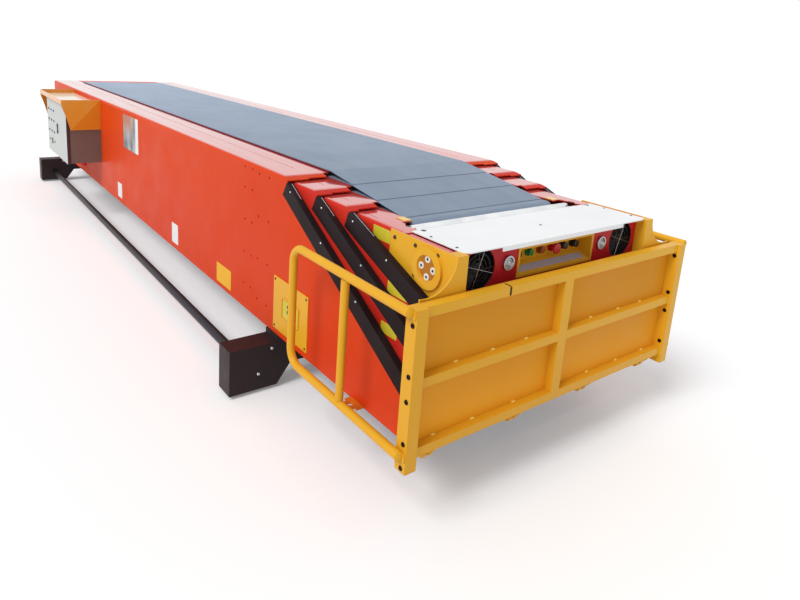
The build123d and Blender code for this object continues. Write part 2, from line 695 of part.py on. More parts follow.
def base_drums():
    """Tail drum and bend drum in the base's rear."""
    wall = BASE_HALF_WIDTH - SHEET
    top_axis = belt_z(0) - BELT_THICK - SEAT - DRUM_R
    low_axis = return_belt_z(0) + BELT_THICK / 2 + SEAT + DRUM_R
    return [drum(TAIL_DRUM_X, z, DRUM_R, DRUM_JOURNAL_R, wall) for z in (top_axis, low_axis)]


def head_drum():
    z = belt_z(3) - BELT_THICK - SEAT - HEAD_DRUM_R
    return drum(HEAD_DRUM_X, z, HEAD_DRUM_R, HEAD_JOURNAL_R, TIP_HALF_WIDTH - SHEET)


def cross_beam(front_x, shaft_leaves):
    """A beam across the base, its ends open below as boxes over the traverse wheels."""
    rear_x = front_x - BEAM_WIDTH
    inner = BASE_HALF_WIDTH + BOX_STEP_GAP
    wheel_end = WHEEL_Y - WHEEL_R - WHEEL_INNER_ROOM
    mid_bottom = BOX_BOTTOM_Z + BEAM_MID_RISE
    half_outline = [
        (0, BASE_BOTTOM_Z),
        (inner, BASE_BOTTOM_Z),
        (inner, BOX_TOP_Z),
        (BEAM_HALF_LENGTH, BOX_TOP_Z),
        (BEAM_HALF_LENGTH, BOX_BOTTOM_Z),
        (wheel_end, BOX_BOTTOM_Z),
        (wheel_end - BEAM_SLOPE, mid_bottom),
        (0, mid_bottom),
    ]
    outline = half_outline + [(-y, z) for y, z in reversed(half_outline[1:-1])]
    beam = plate_x(outline, rear_x, front_x)
    inside_x = (rear_x + BEAM_WALL, front_x - BEAM_WALL)
    for side in (-1, 1):
        wheel_room = span(side, wheel_end, BEAM_HALF_LENGTH - BEAM_WALL)
        beam -= block(inside_x, wheel_room, (BOX_BOTTOM_Z - CUT, BOX_TOP_Z - BEAM_WALL))
        bore_end = front_x + CUT if shaft_leaves and side < 0 else front_x - BLIND_WALL
        beam -= rod(
            (rear_x - CUT, side * WHEEL_Y, WHEEL_R),
            (bore_end, side * WHEEL_Y, WHEEL_R),
            SHAFT_R + RUNNING_FIT,
        )
    return beam


def traverse_wheel(front_x, side, bore_radius):
    """A double-flanged steel wheel, turned about an axis along x."""
    tread = WHEEL_R - WHEEL_GROOVE_DEPTH
    half = WHEEL_WIDTH / 2
    outline = [
        (bore_radius, -half),
        (WHEEL_R, -half),
        (WHEEL_R, -half + WHEEL_FLANGE - FLANGE_TAPER),
        (tread, -half + WHEEL_FLANGE),
        (tread, half - WHEEL_FLANGE),
        (WHEEL_R, half - WHEEL_FLANGE + FLANGE_TAPER),
        (WHEEL_R, half),
        (bore_radius, half),
    ]
    face = make_face(Polyline(*[(r, 0, h) for r, h in outline], close=True))
    place = Plane(origin=(front_x - BEAM_WIDTH / 2, side * WHEEL_Y, WHEEL_R), z_dir=(1, 0, 0))
    return place * revolve(face, Axis.Z)


def idle_wheel(front_x):
    """A free wheel with its own short axle in the beam's two walls."""
    rear = (front_x - BEAM_WIDTH, WHEEL_Y, WHEEL_R)
    front = (front_x - BLIND_WALL - AXLE_END_GAP, WHEEL_Y, WHEEL_R)
    return traverse_wheel(front_x, 1, 0.0) + rod(rear, front, SHAFT_R)


def drive_shaft(front_beam_x, rear_beam_x):
    """The shaft that joins the two driven wheels along the base's right side."""
    rear = (rear_beam_x - BEAM_WIDTH, -WHEEL_Y, WHEEL_R)
    front = (front_beam_x - BLIND_WALL - AXLE_END_GAP, -WHEEL_Y, WHEEL_R)
    return rod(rear, front, SHAFT_R)


def cabinet():
    """A hollow steel cabinet on the base's right side, open towards its door."""
    wall = -BASE_HALF_WIDTH
    body = block((CAB_REAR_X, CAB_FRONT_X), (CAB_OUTER_Y, wall), (CAB_BOTTOM_Z, CAB_TOP_Z))
    body -= block(
        (CAB_REAR_X + CAB_WALL, CAB_FRONT_X - CAB_WALL),
        (CAB_OUTER_Y - CUT, wall - CAB_WALL),
        (CAB_BOTTOM_Z + CAB_WALL, CAB_TOP_Z - CAB_WALL),
    )
    x = DOOR_HINGE_X
    y = DOOR_HINGE_Y
    for z in DOOR_HINGE_HEIGHTS:
        low = z - LEAF_LOW
        body += block(
            (x - LEAF_HALF, CAB_REAR_X), (y - LEAF_HALF, CAB_OUTER_Y + LEAF_LAP), (low, low + LEAF_THICK)
        )
        body += rod((x, y, low), (x, y, z + PIN_TOP), DOOR_PIN_R)
    return body


def cabinet_door():
    """A folded door pan that covers the cabinet's open front, with two hinge barrels."""
    rear = CAB_REAR_X + DOOR_SIDE_GAP
    front = CAB_FRONT_X + DOOR_SIDE_GAP
    low = CAB_BOTTOM_Z - DOOR_BOTTOM_LAP
    high = CAB_TOP_Z + DOOR_TOP_LAP
    outer = DOOR_OUTER_Y
    inner = outer + DOOR_THICK
    door = block((rear, front), (outer, inner), (low, high))
    door -= block(
        (rear + DOOR_SHEET, front - DOOR_SHEET),
        (outer + DOOR_SHEET, inner + CUT),
        (low + DOOR_SHEET, high - DOOR_SHEET),
    )
    x = DOOR_HINGE_X
    y = DOOR_HINGE_Y
    for z in DOOR_HINGE_HEIGHTS:
        barrel_z = (z - BARREL_LOW, z + BARREL_HIGH)
        barrel = rod((x, y, barrel_z[0]), (x, y, barrel_z[1]), DOOR_BARREL_R)
        wing = block((x, rear + CUT), (y - WING_HALF, y + WING_HALF), barrel_z)
        bore = rod((x, y, z - LEAF_LOW), (x, y, z + PIN_TOP + CUT), DOOR_PIN_R + RUNNING_FIT)
        door += barrel + wing
        door -= bore
    return door


def cabinet_handle():
    """A slim pull handle on the door."""
    low = HANDLE_BOTTOM_Z
    high = low + HANDLE_LENGTH
    bar_y = (DOOR_OUTER_Y - HANDLE_STANDOFF - HANDLE_THICK, DOOR_OUTER_Y - HANDLE_STANDOFF)
    handle = block((HANDLE_X - HANDLE_HALF_WIDTH, HANDLE_X + HANDLE_HALF_WIDTH), bar_y, (low, high))
    foot_x = (HANDLE_X - HANDLE_FOOT_WIDTH, HANDLE_X + HANDLE_FOOT_WIDTH)
    for z in (low + HANDLE_FOOT_INSET, high - HANDLE_FOOT_INSET - HANDLE_FOOT_HEIGHT):
        handle += block(foot_x, (bar_y[1] - CUT, DOOR_OUTER_Y), (z, z + HANDLE_FOOT_HEIGHT))
    return handle


def hood_cheek(x, direction):
    """An end cheek of the hood, creased from its outer foot to its inner head."""
    wall = -BASE_HALF_WIDTH
    foot = (HOOD_OUTER_Y + HOOD_CHEEK_EDGE[0][0], HOOD_BOTTOM_Z)
    rim = (HOOD_OUTER_Y, HOOD_TOP_Z)
    head = (wall, HOOD_TOP_Z)

    def off_crease(y, z):
        return (head[1] - foot[1]) * (foot[0] - y) + (head[0] - foot[0]) * (z - foot[1])

    def leaned(y, z):
        return (x + direction * HOOD_LEAN * off_crease(y, z) / off_crease(*rim), y, z)

    edge = [(HOOD_OUTER_Y + inset, HOOD_BOTTOM_Z + rise) for inset, rise in HOOD_CHEEK_EDGE]
    inner_facet = [leaned(*foot), (x + direction * HOOD_LOW_LEAN, wall, HOOD_BOTTOM_Z), leaned(*head)]
    outer_facet = [leaned(*point) for point in edge + [rim, head]]
    cheek = None
    for corners in (inner_facet, outer_facet):
        face = make_face(Polyline(*corners, close=True))
        plate = extrude(face, amount=HOOD_SHEET, dir=(direction, 0, 0))
        cheek = plate if cheek is None else cheek + plate
    return cheek


def cabinet_hood():
    """A yellow tray over the cabinet's head, with creased cheeks and a rim."""
    rear = HOOD_REAR_X + HOOD_LEAN
    front = HOOD_FRONT_X - HOOD_LEAN
    low = HOOD_FLOOR_Z - HOOD_SHEET
    lap = HOOD_SHEET / 2
    corners = [
        (rear, HOOD_OUTER_Y, low),
        (front, HOOD_OUTER_Y, low),
        (HOOD_FRONT_X - lap, -BASE_HALF_WIDTH, low),
        (HOOD_REAR_X + lap, -BASE_HALF_WIDTH, low),
    ]
    floor = extrude(make_face(Polyline(*corners, close=True)), amount=HOOD_SHEET, dir=(0, 0, 1))
    rim = block((rear, front), (HOOD_OUTER_Y, HOOD_OUTER_Y + HOOD_SHEET), (low, HOOD_TOP_Z))
    return hood_cheek(HOOD_FRONT_X, -1) + hood_cheek(HOOD_REAR_X, 1) + rim + floor


def rear_end_plate():
    """Plate that closes the base's rear, folded over to the belt, with an infeed's four holes."""
    wall = BASE_HALF_WIDTH - SHEET
    low = BASE_BOTTOM_Z + SHEET + REAR_PLATE_MARGIN
    high = cover_z(0) - SHEET - REAR_PLATE_MARGIN
    rear_face = (REAR_X, REAR_X + SHEET)
    plate = block(rear_face, (-wall, wall), (low, high))
    hole_y = BASE_HALF_WIDTH - INFEED_HOLE_INSET_Y
    for y in (-hole_y, hole_y):
        for z in (BASE_BOTTOM_Z + INFEED_HOLE_LOW, BASE_COVER_Z - INFEED_HOLE_HIGH):
            plate -= rod((REAR_X - CUT, y, z), (REAR_X + SHEET + CUT, y, z), INFEED_HOLE_R)
    reach = COVER_INNER_Y - REAR_COVER_SIDE_GAP
    plate += block(rear_face, (-reach, reach), (high, cover_z(0)))
    return plate + block(
        (REAR_X, REAR_COVER_FRONT_X), (-reach, reach), (cover_z(0) - SHEET, cover_z(0))
    )


def drive_unit():
    """The belt's gearmotor, one plain block on the rearmost strap."""
    rear = REAR_X + DRIVE_UNIT_INSET
    low = BASE_BOTTOM_Z + SHEET + STRAP_THICK
    return block(
        (rear, rear + DRIVE_UNIT_LENGTH),
        (-DRIVE_UNIT_HALF_WIDTH, DRIVE_UNIT_HALF_WIDTH),
        (low, low + DRIVE_UNIT_HEIGHT),
    )


def tie_lug():
    """Lug with a hole on the base's bottom edge, for tying the machine down."""
    x = NOSE_FOOT_X - LUG_INSET
    outer = -BASE_HALF_WIDTH
    low = BASE_BOTTOM_Z + LUG_RISE
    high = low + LUG_THICK
    lug = block((x - LUG_HALF_LENGTH, x + LUG_HALF_LENGTH), (outer - LUG_REACH, outer), (low, high))
    lug += rod((x, outer - LUG_REACH, low), (x, outer - LUG_REACH, high), LUG_R)
    hole_y = outer - LUG_HOLE_REACH
    return lug - rod((x, hole_y, low - CUT), (x, hole_y, high + CUT), LUG_HOLE_R)


def access_cover():
    """Lift-off cover on the base's right side, with a pressed dish for its lock."""
    x = SECTIONS[0][0] - ACCESS_REAR_GAP
    z = BASE_BOTTOM_Z + ACCESS_RISE
    wall = -BASE_HALF_WIDTH
    face = wall - ACCESS_THICK
    cover = block((x, x + ACCESS_LENGTH), (face, wall), (z, z + ACCESS_HEIGHT))
    dish_x = x + DISH_SIDE
    dish_z = z + DISH_RISE
    outer = face - DISH_DEPTH
    dish = block((dish_x, dish_x + DISH_LENGTH), (outer, face), (dish_z, dish_z + DISH_HEIGHT))
    dish = fillet(dish.edges().filter_by(Axis.Y), DISH_CORNER_R)
    dish -= block(
        (dish_x + DISH_RIM, dish_x + DISH_LENGTH - DISH_BAR),
        (outer - CUT, face - DISH_FLOOR),
        (dish_z + DISH_RIM, dish_z + DISH_HEIGHT - DISH_RIM),
    )
    return cover + dish


def signal_lamp():
    """A domed lamp that hangs under the cabinet."""
    x = CAB_FRONT_X - SIGNAL_INSET_X
    y = CAB_OUTER_Y + SIGNAL_INSET_Y
    low = CAB_BOTTOM_Z - SIGNAL_NECK
    half_ball = Sphere(SIGNAL_R, arc_size2=0, align=(Align.CENTER, Align.CENTER, Align.MAX))
    dome = Pos(x, y, low) * half_ball
    return rod((x, y, low), (x, y, CAB_BOTTOM_Z), SIGNAL_R) + dome


def tip_cheek():
    """Yellow side plate of the tip with its round bearing boss."""
    inner = -TIP_HALF_WIDTH
    face = inner - CHEEK_THICK
    outline = [
        (CHEEK_REAR_X, TIP_TOP_Z),
        (WALL_X, TIP_TOP_Z),
        (WALL_X, WALL_BOTTOM_Z),
        (CHEEK_REAR_X, TIP_TOP_Z - CHEEK_REAR_DEPTH),
    ]
    head = face - BOSS_HEIGHT
    boss = rod((BOSS_X, face, BOSS_Z), (BOSS_X, head, BOSS_Z), BOSS_R)
    floor = head + BOSS_RECESS_DEPTH
    boss -= rod((BOSS_X, floor, BOSS_Z), (BOSS_X, head - CUT, BOSS_Z), BOSS_RECESS_R)
    return plate_y(outline, face, inner) + boss


def end_frame():
    """The last boom's end frame: two posts, a bottom crossbar with hinge ears, and gussets."""
    post_low = CROSSBAR_BOTTOM_Z + CROSSBAR_HEIGHT
    outer = TIP_HALF_WIDTH + CHEEK_THICK
    bar_x = (CROSSBAR_FRONT_X - CROSSBAR_DEPTH, CROSSBAR_FRONT_X)
    frame = block(bar_x, (-CROSSBAR_HALF, CROSSBAR_HALF), (CROSSBAR_BOTTOM_Z, post_low))
    for side in (-1, 1):
        post_y = span(side, outer - POST_SIZE, outer)
        frame += block((WALL_X, POST_FRONT_X), post_y, (post_low, TIP_TOP_Z))
        frame += gusset(side)
    root_x = (bar_x[0] + EAR_ROOT_LAP, HINGE_X)
    root_z = (HINGE_Z - EAR_ROOT_DROP, HINGE_Z + EAR_R)
    reach = EAR_GAP + EAR_THICK
    for tab_y in HINGE_TAB_PLACES:
        for low in (tab_y - reach, tab_y + EAR_GAP):
            high = low + EAR_THICK
            frame += rod((HINGE_X, low, HINGE_Z), (HINGE_X, high, HINGE_Z), EAR_R)
            frame += block(root_x, (low, high), root_z)
        frame += rod((HINGE_X, tab_y - reach, HINGE_Z), (HINGE_X, tab_y + reach, HINGE_Z), HINGE_PIN_R)
    return frame


def gusset(side):
    """A concave gusset from a post's head out to the folded platform's upper corner."""
    outer = TIP_HALF_WIDTH + CHEEK_THICK
    head = (side * outer, TIP_TOP_Z - GUSSET_HEAD_DROP)
    tip = (side * GUSSET_OUTER_Y, PLAT_TOP_Z + GUSSET_FOOT_RISE)
    middle = (side * (outer + GUSSET_MIDDLE[0]), PLAT_TOP_Z + GUSSET_MIDDLE[1])
    low = PLAT_TOP_Z - GUSSET_LAP
    rim = Polyline(tip, (side * GUSSET_OUTER_Y, low), (side * outer, low), head)
    face = Plane.YZ * make_face(ThreePointArc(head, middle, tip) + rim)
    place = Pos(POST_FRONT_X - GUSSET_THICK, 0, 0)
    return extrude(place * face, amount=GUSSET_THICK, dir=(1, 0, 0))


def tip_wall():
    """A folded tray across the tip: front wall, floor and rear bearer."""
    half = TIP_HALF_WIDTH - SHEET
    face_x = (WALL_X - WALL_THICK, WALL_X)
    rear = DECK_REAR_X + TRAY_REAR_GAP
    low = WALL_BOTTOM_Z + WALL_FLOOR_RISE
    tray = block(face_x, (-half, half), (low, TIP_TOP_Z))
    tray += block((rear, WALL_X), (-half, half), (low, low + WALL_THICK))
    tray += block((rear, rear + WALL_THICK), (-half, half), (low, TIP_TOP_Z))
    hole_x = (face_x[0] - CUT, WALL_X + CUT)
    for y in (-FAN_Y, FAN_Y):
        tray -= rod((hole_x[0], y, FAN_Z), (hole_x[1], y, FAN_Z), FAN_R)
    inset = BUTTON_TUB_INSET - BUTTON_WALL_LAP
    half_box = BUTTON_BOX_HALF_WIDTH - inset
    return tray - block(
        hole_x, (-half_box, half_box), (BUTTON_BOX_BOTTOM_Z + inset, BUTTON_BOX_TOP_Z - inset)
    )


def roller_bites(low, high):
    """Oval cutters beside the transfer rollers' ends."""
    y = TRANSFER_ROLLER_HALF + ROLLER_END_GAP
    oval = Ellipse(BITE_HALF_LENGTH, BITE_HALF_WIDTH)
    return [
        extrude(Pos(x + BITE_LEAD, side * y, low) * oval, amount=high - low)
        for x in (FIRST_ROLLER_X, SECOND_ROLLER_X)
        for side in (-1, 1)
    ]


def tip_deck():
    """White deck plate over the tip, with rounded front corners and a lip hanging in front."""
    top = TIP_TOP_Z + DECK_THICK
    deck = block(
        (DECK_REAR_X, DECK_FRONT_X), (-DECK_HALF_WIDTH, DECK_HALF_WIDTH), (TIP_TOP_Z, top)
    )
    corners = deck.edges().filter_by(Axis.Z).group_by(Axis.X)[-1]
    deck = fillet(corners, DECK_CORNER_R)
    for bite in roller_bites(TIP_TOP_Z - CUT, top + CUT):
        deck -= bite
    return deck + block(
        (DECK_FRONT_X, DECK_FRONT_X + DECK_THICK),
        (-LIP_HALF_WIDTH, LIP_HALF_WIDTH),
        (TIP_TOP_Z - LIP_DROP, top),
    )


def belt_end_plate():
    """A small plate on the last boom's cover, beside the belt's end."""
    front = FIRST_ROLLER_X - TRANSFER_ROLLER_R - ROLLER_BAY_GAP
    low = cover_z(3)
    return block(
        (front - END_PLATE_LENGTH, front),
        span(-1, COVER_INNER_Y, COVER_INNER_Y + END_PLATE_WIDTH),
        (low, low + END_PLATE_THICK),
    )


def fan_housing(y):
    """Square fan frame with its motor on a spider behind and a ring guard in front."""
    front = WALL_X - WALL_THICK
    rear = front - FAN_DEPTH
    half = FAN_R + FAN_FRAME
    frame = block((rear, front), (y - half, y + half), (FAN_Z - half, FAN_Z + half))
    frame -= rod((rear - CUT, y, FAN_Z), (front + CUT, y, FAN_Z), FAN_R - CUT)
    arms = Pos(rear + FAN_SPIDER_THICK / 2, y, FAN_Z)
    frame += arms * Box(FAN_SPIDER_THICK, 2 * FAN_R, FAN_SPIDER)
    frame += arms * Box(FAN_SPIDER_THICK, FAN_SPIDER, 2 * FAN_R)
    frame += rod((rear, y, FAN_Z), (rear + FAN_MOTOR_DEPTH, y, FAN_Z), FAN_HUB_R)
    frame += rod((rear, y, FAN_Z), (rear + FAN_PIN_LENGTH, y, FAN_Z), FAN_PIN_R)
    wire_x = (front - GUARD_WIRE, front)
    for radius in GUARD_RING_RADII:
        ring = rod((wire_x[0], y, FAN_Z), (wire_x[1], y, FAN_Z), radius)
        frame += ring - rod((wire_x[0] - CUT, y, FAN_Z), (front + CUT, y, FAN_Z), radius - GUARD_WIRE)
    for turn in (0, 90):
        wire = Pos(front - GUARD_WIRE / 2, y, FAN_Z) * Rot(turn, 0, 0)
        frame += wire * Box(GUARD_WIRE, GUARD_WIRE, 2 * FAN_R)
    return frame


def fan_rotor(y):
    """Fan wheel: a hub on the motor's pin and seven pitched blades."""
    middle = WALL_X - WALL_THICK - FAN_DEPTH + FAN_ROTOR_PLACE
    rear = middle - FAN_HUB_REAR
    rotor = rod((rear, y, FAN_Z), (middle + FAN_HUB_FRONT, y, FAN_Z), FAN_HUB_R)
    root = FAN_HUB_R - FAN_ROOT
    length = FAN_R - FAN_TIP_GAP - root
    blade = Rot(0, 0, FAN_BLADE_PITCH) * Box(FAN_BLADE_THICK, FAN_BLADE_CHORD, length)
    for number in range(FAN_BLADES):
        turn = Rot(360 / FAN_BLADES * number, 0, 0)
        rotor += Pos(middle, y, FAN_Z) * turn * Pos(0, 0, root + length / 2) * blade
    bore_end = (middle + FAN_BORE_END, y, FAN_Z)
    return rotor - rod((rear - CUT, y, FAN_Z), bore_end, FAN_PIN_R + RUNNING_FIT)


def spot_lamp(y):
    """A round spot lamp on the wall: a chromed dish with a raised lens."""
    lamp = rod((WALL_X, y, LAMP_Z), (WALL_X + LAMP_DEPTH, y, LAMP_Z), LAMP_R)
    floor = WALL_X + LAMP_DISH_FLOOR
    lamp -= rod((floor, y, LAMP_Z), (WALL_X + LAMP_DEPTH + CUT, y, LAMP_Z), LAMP_R - LAMP_RIM)
    return lamp + rod((floor - CUT, y, LAMP_Z), (WALL_X + LAMP_LENS_FRONT, y, LAMP_Z), LAMP_LENS_R)


def button_box():
    """Yellow frame with a recessed back and a sloping blank strip under the buttons."""
    half = BUTTON_BOX_HALF_WIDTH
    back = WALL_X - BUTTON_BOX_DEPTH
    low = BUTTON_BOX_BOTTOM_Z
    high = BUTTON_BOX_TOP_Z
    front = WALL_X + BUTTON_RIM_THICK
    rim = block((WALL_X, front), (-half, half), (low, high))
    rim -= block(
        (WALL_X - CUT, front + CUT),
        (-half + BUTTON_RIM, half - BUTTON_RIM),
        (low + BUTTON_RIM, high - BUTTON_RIM),
    )
    tub_half = half - BUTTON_TUB_INSET
    tub = block((back, WALL_X), (-tub_half, tub_half), (low + BUTTON_TUB_INSET, high - BUTTON_TUB_INSET))
    inset = BUTTON_TUB_INSET + BUTTON_TUB_WALL
    floor = back + BUTTON_BACK_THICK
    room = [
        (front + CUT, low + inset),
        (WALL_X - BUTTON_STRIP_FRONT, low + inset),
        (floor, low + inset + BUTTON_STRIP_RISE),
        (floor, high - inset),
        (front + CUT, high - inset),
    ]
    return rim + (tub - plate_y(room, -half + inset, half - inset))


def push_buttons():
    """Six push buttons on the box's back: five flat ones and a mushroom head."""
    back = WALL_X - BUTTON_BOX_DEPTH + BUTTON_BACK_THICK
    pieces = []
    for place, head_radius, reach in BUTTONS:
        y = BUTTON_PITCH * place
        neck = back + reach - BUTTON_HEAD_THICK
        button = rod((back, y, BUTTON_Z), (back + BUTTON_HEAD_THICK, y, BUTTON_Z), BUTTON_COLLAR_R)
        button += rod((back, y, BUTTON_Z), (neck, y, BUTTON_Z), BUTTON_STEM_R)
        button += rod((neck, y, BUTTON_Z), (back + reach, y, BUTTON_Z), head_radius)
        pieces.append(button)
    return pieces


def transfer_roller(x):
    """A plain roller between the belt's end and the deck, with its journals."""
    z = belt_z(3) - TRANSFER_ROLLER_R
    half = TRANSFER_ROLLER_HALF
    wall = TIP_HALF_WIDTH - JOURNAL_END_GAP
    shell = rod((x, -half, z), (x, half, z), TRANSFER_ROLLER_R)
    return shell + rod((x, -wall, z), (x, wall, z), ROLLER_JOURNAL_R)


def tip_side_plates():
    """The last boom's side plate: journal holes, and a cover cut out round the transfer rollers."""
    plate = side_plates(3)
    outer = TIP_HALF_WIDTH
    z = belt_z(3) - TRANSFER_ROLLER_R
    for x in (FIRST_ROLLER_X, SECOND_ROLLER_X):
        journal_room = ROLLER_JOURNAL_R + RUNNING_FIT
        plate -= rod((x, -outer - CUT, z), (x, -outer + SHEET + CUT, z), journal_room)
    above = cover_z(3) + CUT
    below = cover_z(3) - SHEET - CUT
    bay_rear = FIRST_ROLLER_X - TRANSFER_ROLLER_R - ROLLER_BAY_GAP
    reach = TRANSFER_ROLLER_HALF + ROLLER_END_GAP
    plate -= block((bay_rear, DECK_REAR_X + CUT), span(-1, 0, reach), (below, above))
    for bite in roller_bites(below, above):
        plate -= bite
    return plate


def platform_frame():
    """Posts, rails and ribs of the platform, with the hinge tabs under its bottom rail."""
    inner = PLAT_HALF_WIDTH - POST_SIZE
    rail_x = (PLAT_PANEL_FRONT_X, RIB_FRONT_X)
    lows = [PLAT_BOTTOM_Z + rise for rise in RIB_RISES] + [PLAT_TOP_Z - RIB_HEIGHT]
    rib_y = (RIB_Y - RIB_HALF_WIDTH, RIB_Y + RIB_HALF_WIDTH)
    frame = block(rail_x, rib_y, (lows[0], PLAT_TOP_Z))
    for low in lows:
        frame += block(rail_x, (-inner, inner), (low, low + RIB_HEIGHT))
    slot_y = (SLOT_Y - SLOT_HALF_WIDTH, SLOT_Y + SLOT_HALF_WIDTH)
    slot_z = (PLAT_TOP_Z - RIB_HEIGHT + RIB_WALL, PLAT_TOP_Z + CUT)
    frame -= block((RIB_FRONT_X - RIB_WALL, RIB_FRONT_X + CUT), slot_y, slot_z)
    for side in (-1, 1):
        post = block((PLAT_REAR_X, FRONT_X), span(side, inner, PLAT_HALF_WIDTH), (PLAT_BOTTOM_Z, PLAT_TOP_Z))
        post -= block(
            (PLAT_REAR_X + RIB_WALL, FRONT_X - RIB_WALL),
            span(side, inner + RIB_WALL, PLAT_HALF_WIDTH - RIB_WALL),
            (PLAT_BOTTOM_Z - CUT, PLAT_TOP_Z - RIB_WALL),
        )
        frame += post
    tab_top = PLAT_BOTTOM_Z + TAB_TOP_RISE
    outline = [
        (HINGE_X, HINGE_Z - EYE_R),
        (RIB_FRONT_X, tab_top - TAB_EDGE),
        (RIB_FRONT_X, tab_top),
        (PLAT_PANEL_FRONT_X, tab_top),
        (PLAT_PANEL_FRONT_X, PLAT_BOTTOM_Z + TAB_ROOT_RISE),
        (HINGE_X, HINGE_Z + EYE_R),
    ]
    for y in HINGE_TAB_PLACES:
        low = y - TAB_HALF
        high = y + TAB_HALF
        tab = plate_y(outline, low, high) + rod((HINGE_X, low, HINGE_Z), (HINGE_X, high, HINGE_Z), EYE_R)
        bore = ((HINGE_X, low - CUT, HINGE_Z), (HINGE_X, high + CUT, HINGE_Z))
        frame += tab - rod(*bore, HINGE_PIN_R + RUNNING_FIT)
    return frame


def platform_floor():
    """The platform's floor plate, upright while it is folded."""
    inner = PLAT_HALF_WIDTH - POST_SIZE
    rear = PLAT_PANEL_FRONT_X - PLAT_PANEL_THICK
    low = PLAT_BOTTOM_Z + PLAT_PANEL_RISE
    return block((rear, PLAT_PANEL_FRONT_X), (-inner, inner), (low, PLAT_TOP_Z))


def handrail():
    """Tube loop on the platform's side with a middle tube and two fixing lugs."""
    y = -PLAT_HALF_WIDTH - RAIL_TUBE_R
    front = PLAT_REAR_X + RAIL_FRONT_INSET
    corners = [
        (front, y, RAIL_TOP_Z),
        (RAIL_REAR_X, y, RAIL_TOP_Z),
        (RAIL_REAR_X, y, RAIL_LOW_Z),
        (front, y, RAIL_LOW_Z),
    ]
    path = FilletPolyline(*corners, radius=RAIL_BEND_R)
    start = Plane(origin=corners[0], z_dir=(-1, 0, 0))
    ring = Circle(RAIL_TUBE_R) - Circle(RAIL_TUBE_R - RAIL_WALL)
    tube = sweep(start * ring, path=path)
    reach = RAIL_TUBE_R - RAIL_WALL / 2
    low = (RAIL_MID_X, y, RAIL_LOW_Z + reach)
    high = (RAIL_MID_X, y, RAIL_TOP_Z - reach)
    tube += rod(low, high, RAIL_TUBE_R - RAIL_MID_STEP)
    lug_x = PLAT_REAR_X + RAIL_LUG_INSET
    for z in (RAIL_TOP_Z, RAIL_LOW_Z):
        tube += block(
            (lug_x, lug_x + RAIL_LUG_LENGTH),
            span(-1, PLAT_HALF_WIDTH, PLAT_HALF_WIDTH + RAIL_LUG_THICK),
            (z - RAIL_LUG_LOW, z + RAIL_LUG_HIGH),
        )
    return tube


os.makedirs("parts", exist_ok=True)

save("base_side_plates", mirrored_pair(base_side_plates()))
save("base_belt", base_belt())
save("base_drums", base_drums())
save("base_nosings", mirrored_pair(nosings(0)))
save("base_support_rollers", nose_runners(0))
save("rear_end_plate", rear_end_plate())
save("belt_drive_unit", drive_unit())
save("tie_lugs", mirrored_pair(tie_lug()))
save("access_cover", access_cover())
for section, name in enumerate(SECTION_NAMES):
    save(name + "_belt_bed", belt_bed(section))
    save(name + "_straps", straps(section))

for name, x in BEAM_FRONTS.items():
    save(name + "_cross_beam", cross_beam(x, name == "rear"))
    save("idle_wheel_" + name, idle_wheel(x))
bored = SHAFT_R + RUNNING_FIT
save("drive_wheels", [traverse_wheel(x, -1, bored) for x in BEAM_FRONTS.values()])
save("drive_shaft", drive_shaft(BEAM_FRONTS["front"], BEAM_FRONTS["rear"]))

save("cabinet", cabinet())
save("cabinet_hood", cabinet_hood())
save("cabinet_door", cabinet_door())
save("cabinet_handle", cabinet_handle())
save("signal_lamp", signal_lamp())

for section in (1, 2):
    name = SECTION_NAMES[section]
    save(name + "_side_plates", mirrored_pair(lipped_side_plates(section)))
    save(name + "_belt", boom_belt(section))
    save(name + "_nosings", mirrored_pair(nosings(section)))
    save(name + "_rollers", nose_runners(section) + rear_rollers(section))

save("boom_3_side_plates", mirrored_pair(tip_side_plates()))
save("boom_3_belt", tip_belt())
save("boom_3_rollers", rear_rollers(3) + [head_drum()])
save("belt_end_plates", mirrored_pair(belt_end_plate()))
for number, x in enumerate((FIRST_ROLLER_X, SECOND_ROLLER_X), 1):
    save("transfer_roller_" + str(number), transfer_roller(x))

save("tip_cheeks", mirrored_pair(tip_cheek()))
save("tip_end_frame", end_frame())
save("tip_wall", tip_wall())
save("tip_deck", tip_deck())
save("fan_housings", [fan_housing(y) for y in (-FAN_Y, FAN_Y)])
save("fan_rotor_right", fan_rotor(-FAN_Y))
save("fan_rotor_left", fan_rotor(FAN_Y))
save("spot_lamps", [spot_lamp(y) for y in (-LAMP_Y, LAMP_Y)])
save("button_box", button_box())
save("push_buttons", push_buttons())

save("platform_frame", platform_frame())
save("platform_floor", platform_floor())
save("platform_handrails", mirrored_pair(handrail()))
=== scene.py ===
import math

